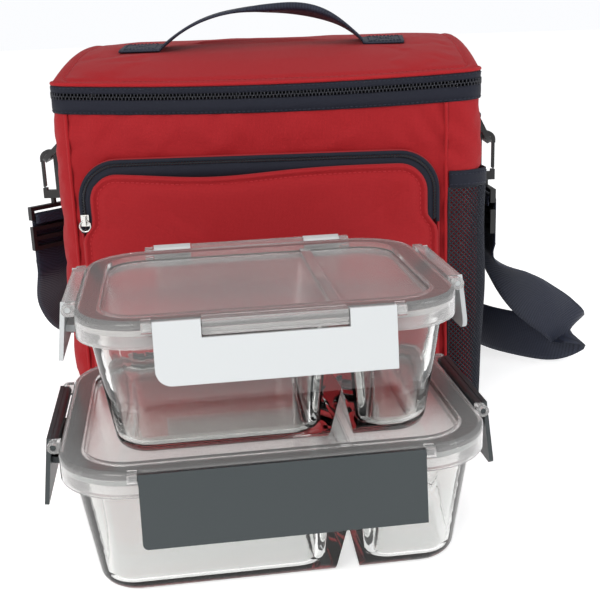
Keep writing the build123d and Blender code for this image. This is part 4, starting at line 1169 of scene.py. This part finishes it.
front_rows = [panel_ring(rest, 1.0, panel_depth) for rest in panel_rests]
front_rows += [panel_ring(0.017, 1 - k / 26, panel_depth) for k in range(1, 26)]
back_rows = [panel_ring(0.0, 1.0, lambda x, z, rest: GUSSET), panel_ring(0.010, 1.0, lambda x, z, rest: GUSSET + 0.001),
             panel_ring(0.010, 0.5, lambda x, z, rest: GUSSET + 0.001)]
verts, faces = skin_rows(list(reversed(back_rows)) + front_rows)
wide = len(front_rows[0])
faces += [tuple(range(wide)), tuple(range(len(verts) - wide, len(verts)))]
pocket_pad = new_piece("pocket_pad", verts, faces, [red_cloth], "bag_body", ("pocket_panel",))
pins = []
for vertex in pocket_pad.data.vertices:
    x, y, z = vertex.co
    edge = min(x - left, right - x, top - z, z - bottom)
    border = 0.0175 if z > ZIP_END else 0.0085
    if z > top - 0.04:
        border = 0.0175 + dip(x, z)
    pins.append(1.0 if edge < border or vertex.normal.y > -0.2 else (0.6 if z < 0.085 else 0.0))
pucker(pocket_pad, pins, grow=0.016, pressure=1.4, limit=0.0022)
seam = [(place, (0, -1, 0)) for place in panel_ring(0.0050, 1.0, panel_depth)]
sew("pocket_border_stitches", seam, red_thread, "bag_body", pitch=0.0034, stitch=0.0025)
print("pocket panel", len(pocket_pad.data.vertices), "points")

# %% [markdown]
# ## Webbing
# Webbing is a flat ribbon. A smooth line gives its middle, a second line says which way its width
# points, and both are read together, so it can twist as it hangs. It is unwrapped as it is made:
# the ribs of the weave follow its length.


# %% Ribbon helper
def smooth_rows(points, per_span=12):
    """rows of numbers joined by a smooth line through each"""
    points = [np.array(p, float) for p in points]
    padded = [2 * points[0] - points[1]] + points + [2 * points[-1] - points[-2]]
    made = []
    for a, b, c, d in zip(padded, padded[1:], padded[2:], padded[3:]):
        for step in range(per_span):
            t = step / per_span
            made.append(0.5 * (2 * b + (c - a) * t + (2 * a - 5 * b + 4 * c - d) * t ** 2
                               + (3 * b - a - 3 * c + d) * t ** 3))
    made.append(points[-1])
    return made


def ribbon(name, rows, width, thickness, material, body, stands_for=(), across_count=8):
    """rows of (x, y, z, across x, y, z, width factor, thickness factor)"""
    verts, lie, travelled = [], [], 0.0
    profile = []
    for k in range(across_count + 1):
        u = -1 + 2 * k / across_count
        profile.append((u, 1 - 0.45 * abs(u) ** 8))
    outline = profile + [(u, -h) for u, h in reversed(profile)]
    before = None
    for number, row in enumerate(rows):
        centre = Vector(row[:3])
        nearby = Vector(rows[min(number + 1, len(rows) - 1)][:3]) - Vector(rows[max(number - 1, 0)][:3])
        along = nearby.normalized()
        across = Vector(row[3:6])
        across = (across - along * across.dot(along)).normalized()
        face = across.cross(along)
        if before is not None:
            travelled += (centre - before).length
        before = centre
        wide = width * (row[6] if len(row) > 6 else 1)
        thick = thickness * (row[7] if len(row) > 7 else 1)
        for u, h in outline:
            verts.append(centre + across * (u * wide / 2) + face * (h * thick / 2))
            lie.append((u * wide / 2, travelled))
    per = len(outline)
    faces = []
    for r in range(len(rows) - 1):
        for c in range(per):
            faces.append((r * per + c, r * per + (c + 1) % per, (r + 1) * per + (c + 1) % per, (r + 1) * per + c))
    faces += [tuple(range(per)), tuple(range(len(verts) - per, len(verts)))]
    mesh = bpy.data.meshes.new(name)
    mesh.from_pydata([tuple(v) for v in verts], [], faces)
    layer = mesh.uv_layers.new(name="lie")
    for loop in mesh.loops:
        layer.data[loop.index].uv = lie[loop.vertex_index]
    builder = bmesh.new()
    builder.from_mesh(mesh)
    bmesh.ops.recalc_face_normals(builder, faces=builder.faces)
    builder.to_mesh(mesh)
    builder.free()
    for polygon in mesh.polygons:
        polygon.use_smooth = True
    mesh.materials.append(material)
    piece = bpy.data.objects.new(name, mesh)
    scene.collection.objects.link(piece)
    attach(piece, body)
    if stands_for:
        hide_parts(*stands_for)
    print(name, round(travelled, 3), "m long")
    return piece


# %% Carrying handle
HANDLE_TOP = handle_high.z + 0.0006
PAD_LIFT = 0.0028               # half the webbing over the filled pad
SLOPE = (CROWN_PEAK_Y - HANDLE_Y) / CROWN_RADIUS


def handle_height(x):
    """arch between the sewn ends, a little flatter to the right of its middle"""
    share = min(1.0, abs(x - 0.006) / (HANDLE_SPAN + 0.006 * (1 if x < 0.006 else -1)))
    foot = crown(HANDLE_Y) + PAD_LIFT
    return foot + (HANDLE_TOP - foot) * (1 - share ** 2.7)


handle_rows = []
for k in range(101):
    x = -HANDLE_REACH + 2 * HANDLE_REACH * k / 100
    lies = abs(x) > HANDLE_SPAN
    height = crown(HANDLE_Y) + PAD_LIFT if lies else handle_height(x)
    tilt = SLOPE if lies else SLOPE * 0.5 - 0.30 * math.exp(-((x - 0.035) / 0.03) ** 2)
    grip = math.exp(-(abs(x - 0.022) / 0.034) ** 4)
    handle_rows.append((HANDLE_X + x, HANDLE_Y + 0.0015 * math.sin(x * 30), height, 0.0, math.cos(tilt),
                        math.sin(tilt), 1 - 0.30 * grip, 1 + 1.7 * grip))
ribbon("handle_webbing_strap", handle_rows, 0.030, 0.0022, handle_webbing, "bag_lid",
       ("carry_handle",), 10)
for hand, turn in (("left", -1), ("right", 1)):
    inner, outer, half = turn * (HANDLE_SPAN + 0.004), turn * (HANDLE_REACH - 0.003), 0.012
    corners = [(inner, -half), (outer, -half), (outer, half), (inner, half), (inner, -half), (outer, half),
               (outer, -half), (inner, half)]
    line = []
    for (x0, y0), (x1, y1) in zip(corners, corners[1:]):
        for s in range(8):
            y = y0 + (y1 - y0) * s / 8
            line.append(((HANDLE_X + x0 + (x1 - x0) * s / 8, HANDLE_Y + y,
                          crown(HANDLE_Y) + PAD_LIFT + 0.0011 + SLOPE * y), (0, 0, 1)))
    sew(f"handle_box_stitches_{hand}", line, navy_thread, "bag_lid", pitch=0.0028, stitch=0.0020)
print("handle top", round(HANDLE_TOP, 4))
# %% [markdown]
# ## Shoulder strap and side tabs
# The strap is one flat band. Behind the bag it stands on its edge on the floor, and at each side it
# twists up into the adjuster and turns round the lower bar of the eye.

# %% Strap
WEBBING = 0.0014
STRAP_WIDTH = 0.038
strap_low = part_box("shoulder_strap")[0]
EYE_PLAY = 0.0020 + 0.00025 + WEBBING / 2


def strap_end_rows(hand, turn_degrees, climbing):
    """rows from the strap's straight end up behind the adjuster, round the eye's lower bar"""
    eye_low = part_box(f"swivel_eye_{hand}")[0]
    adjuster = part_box(f"strap_adjuster_{hand}")
    side = 1 if hand == "right" else -1
    middle = (adjuster[0] + adjuster[1]) / 2
    turn = math.radians(-turn_degrees)
    across = Vector((math.cos(turn), side * math.sin(turn), 0))
    facing = Vector((side * math.sin(turn), -math.cos(turn), 0))
    bar = eye_low.z + 0.0015
    rows = []
    for z in (adjuster[0].z - 0.020, adjuster[0].z - 0.008, middle.z, bar - 0.003):
        rows.append((Vector((middle.x, middle.y, z)) - facing * EYE_PLAY, across))
    for step in range(1, 8):
        a = math.pi * step / 8
        rows.append((Vector((middle.x, middle.y, bar)) - facing * EYE_PLAY * math.cos(a)
                     + Vector((0, 0, 0.0029 * math.sin(a))), across))
    for z in (bar - 0.003, bar - 0.0042):
        rows.append((Vector((middle.x, middle.y, z)) + facing * (EYE_PLAY - 0.0003), across))
    rows = [(*place, *direction) for place, direction in rows]
    return rows if climbing else rows[::-1]


STRAP_TURN = {"left": 50.0, "right": 85.0}      # degrees that each end faces away from the front
left_rows = strap_end_rows("left", STRAP_TURN["left"], False)
right_rows = strap_end_rows("right", STRAP_TURN["right"], True)
FLOOR_LINE = strap_low.z + STRAP_WIDTH / 2 + 0.0002
route = [(-0.1765, -0.018, 0.080, 0.55, 0.70, 0.15), (-0.178, 0.012, 0.057, 0.30, 0.50, 0.55),
         (-0.170, 0.052, 0.042, 0.05, 0.15, 0.95), (-0.156, 0.086, 0.026, 0.0, 0.0, 1.0),
         (-0.132, 0.1085, FLOOR_LINE, 0, 0, 1), (0.138, 0.1085, FLOOR_LINE, 0, 0, 1),
         (0.158, 0.090, FLOOR_LINE, 0, 0, 1), (0.172, 0.058, FLOOR_LINE, 0, 0, 1),
         (0.190, 0.032, FLOOR_LINE, 0, 0.05, 1), (0.222, 0.005, FLOOR_LINE + 0.001, 0, 0.1, 1),
         (0.2405, 0.002, 0.0265, 0.1, 0.1, 1), (0.2300, -0.002, 0.040, 0.15, 0, 1),
         (0.2060, -0.012, 0.0600, 0.25, -0.35, 0.85), (0.1820, -0.027, 0.0860, 0.25, -0.75, 0.45)]
strap_rows = smooth_rows(left_rows + route + right_rows, 8)
shoulder = ribbon("shoulder_strap_webbing", [tuple(r) for r in strap_rows], STRAP_WIDTH, WEBBING, strap_webbing,
                  "bag_body", ("shoulder_strap",), 10)
for vertex in shoulder.data.vertices:
    vertex.co.z = max(vertex.co.z, 0.0003)

# %% Side tabs
for hand, side in (("left", -1), ("right", 1)):
    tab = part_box(f"side_tab_{hand}")
    ring_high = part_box(f"strap_ring_{hand}")[1].z - 0.0018
    face = side * (HALF_WIDTH + 0.0001 + WEBBING / 2)
    centre_x = side * (HALF_WIDTH + 0.004)
    rows = [(face, mouth_low + 0.002), (face, ring_high + 0.014), (face, ring_high + 0.006)]
    for step in range(13):
        a = math.radians(165 + 230 * step / 12)
        rows.append((centre_x + side * 0.0034 * math.cos(a), ring_high - 0.0006 + 0.0034 * math.sin(a)))
    rows.append((face + side * WEBBING, ring_high + 0.007))
    rows.append((face + side * WEBBING, ring_high + 0.012))
    line = [(x, TAB_Y, z, 0, 1, 0) for x, z in rows]
    ribbon(f"side_tab_webbing_{hand}", [tuple(r) for r in smooth_rows(line, 4)], 0.020, WEBBING * 0.9, tab_webbing,
           "bag_body", (f"side_tab_{hand}",), 6)
print("strap and tabs ready")

# %% [markdown]
# ## The mesh pocket
# Real mesh is a knitted lattice, and light comes through its holes. A sheet of staggered diamonds is
# laid on the pocket's surface and each of its edges is turned into yarn by the wireframe modifier.

# %% Mesh pocket and binding
mesh_low, mesh_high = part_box("mesh_pocket")
binding_low, binding_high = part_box("mesh_binding")
MESH_CORNER = 0.024
MESH_X, MESH_Y = mesh_high.x, HALF_DEPTH + 0.0014
mesh_start = RIGHT_SEAM + 0.0022
rows = [((mesh_start, -MESH_Y), (0, -1))]
for start, cy in ((270, -1), (0, 1)):
    for k in range(13):
        a = math.radians(start + 90 * k / 12)
        rows.append(((MESH_X - MESH_CORNER + MESH_CORNER * math.cos(a),
                      cy * (MESH_Y - MESH_CORNER) + MESH_CORNER * math.sin(a)), (math.cos(a), math.sin(a))))
rows.append(((mesh_low.x, MESH_Y), (0, 1)))
mesh_track = Track(rows)


def mesh_place(distance, z, out=0.0):
    """place on the mesh pocket: it slackens between its edges"""
    (x, y), (nx, ny) = mesh_track.read(distance)
    up = (z - mesh_low.z) / (mesh_high.z - mesh_low.z)
    side = max(0.0, nx) ** 2
    slack = side * (0.0012 * bumpy(0, y, z, 0.05, 3.3) - 0.0030 * (1 - up) ** 3)
    shift = out + slack
    return (x + nx * shift, y + ny * shift, z)


CELL = 0.0034
columns = int(mesh_track.length / CELL)
levels = int((mesh_high.z - mesh_low.z) / CELL)
verts, faces, index = [], [], {}


def mesh_point(i, j):
    """lattice point at half-cell steps"""
    if (i, j) not in index:
        index[(i, j)] = len(verts)
        verts.append(mesh_place(mesh_track.length * i / (2 * columns),
                                mesh_low.z + (mesh_high.z - mesh_low.z) * j / (2 * levels)))
    return index[(i, j)]


for i in range(0, 2 * columns + 1):
    for j in range(0, 2 * levels + 1):
        if (i + j) % 2 == 1:
            corners = [(i - 1, j), (i, j - 1), (i + 1, j), (i, j + 1)]
            corners = [c for c in corners if 0 <= c[0] <= 2 * columns and 0 <= c[1] <= 2 * levels]
            if len(corners) >= 3:
                faces.append(tuple(mesh_point(*c) for c in corners))
mesh_cloth = new_piece("mesh_pocket_net", verts, faces, [mesh_yarn], "bag_body", ("mesh_pocket",), False)
yarn = mesh_cloth.modifiers.new("yarn", "WIREFRAME")
yarn.thickness = 0.0016
yarn.use_even_offset = False
yarn.use_boundary = True
rows = []
for k in range(91):
    distance = mesh_track.length * k / 90
    row = []
    for out, z in ((-0.0006, binding_low.z), (0.0006, binding_low.z + 0.0001), (0.0010, binding_low.z + 0.003),
                   (0.0009, binding_high.z - 0.003), (0.0006, binding_high.z - 0.0004), (0.0, binding_high.z),
                   (-0.0007, binding_high.z - 0.0006)):
        (x, y), (nx, ny) = mesh_track.read(distance)
        droop = -0.0035 * max(0.0, nx) ** 2 * math.cos(min(1.0, abs(y) / 0.095) * math.pi / 2)
        ripple = 0.0004 * bumpy(0, y, z, 0.015, 1.0)
        row.append((x + nx * (out + ripple * max(0.0, nx)), y + ny * (out), z + droop))
    rows.append(row)
verts, faces = skin_rows(rows)
faces += [tuple(range(7)), tuple(range(len(verts) - 7, len(verts)))]
new_piece("mesh_binding_band", verts, faces, [navy_cloth], "bag_body", ("mesh_binding",))
for shift in (0.0025, binding_high.z - binding_low.z - 0.0025):
    line = []
    for k in range(120):
        (x, y), (nx, ny) = mesh_track.read(mesh_track.length * k / 119)
        droop = -0.0035 * max(0.0, nx) ** 2 * math.cos(min(1.0, abs(y) / 0.095) * math.pi / 2)
        line.append(((x + nx * 0.0010, y + ny * 0.0010, binding_low.z + shift + droop), (nx, ny, 0)))
    sew(f"binding_stitches_{int(shift * 1000)}", line, navy_thread, "bag_body")
print("mesh cells", columns, "by", levels)
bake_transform(lid_fold)
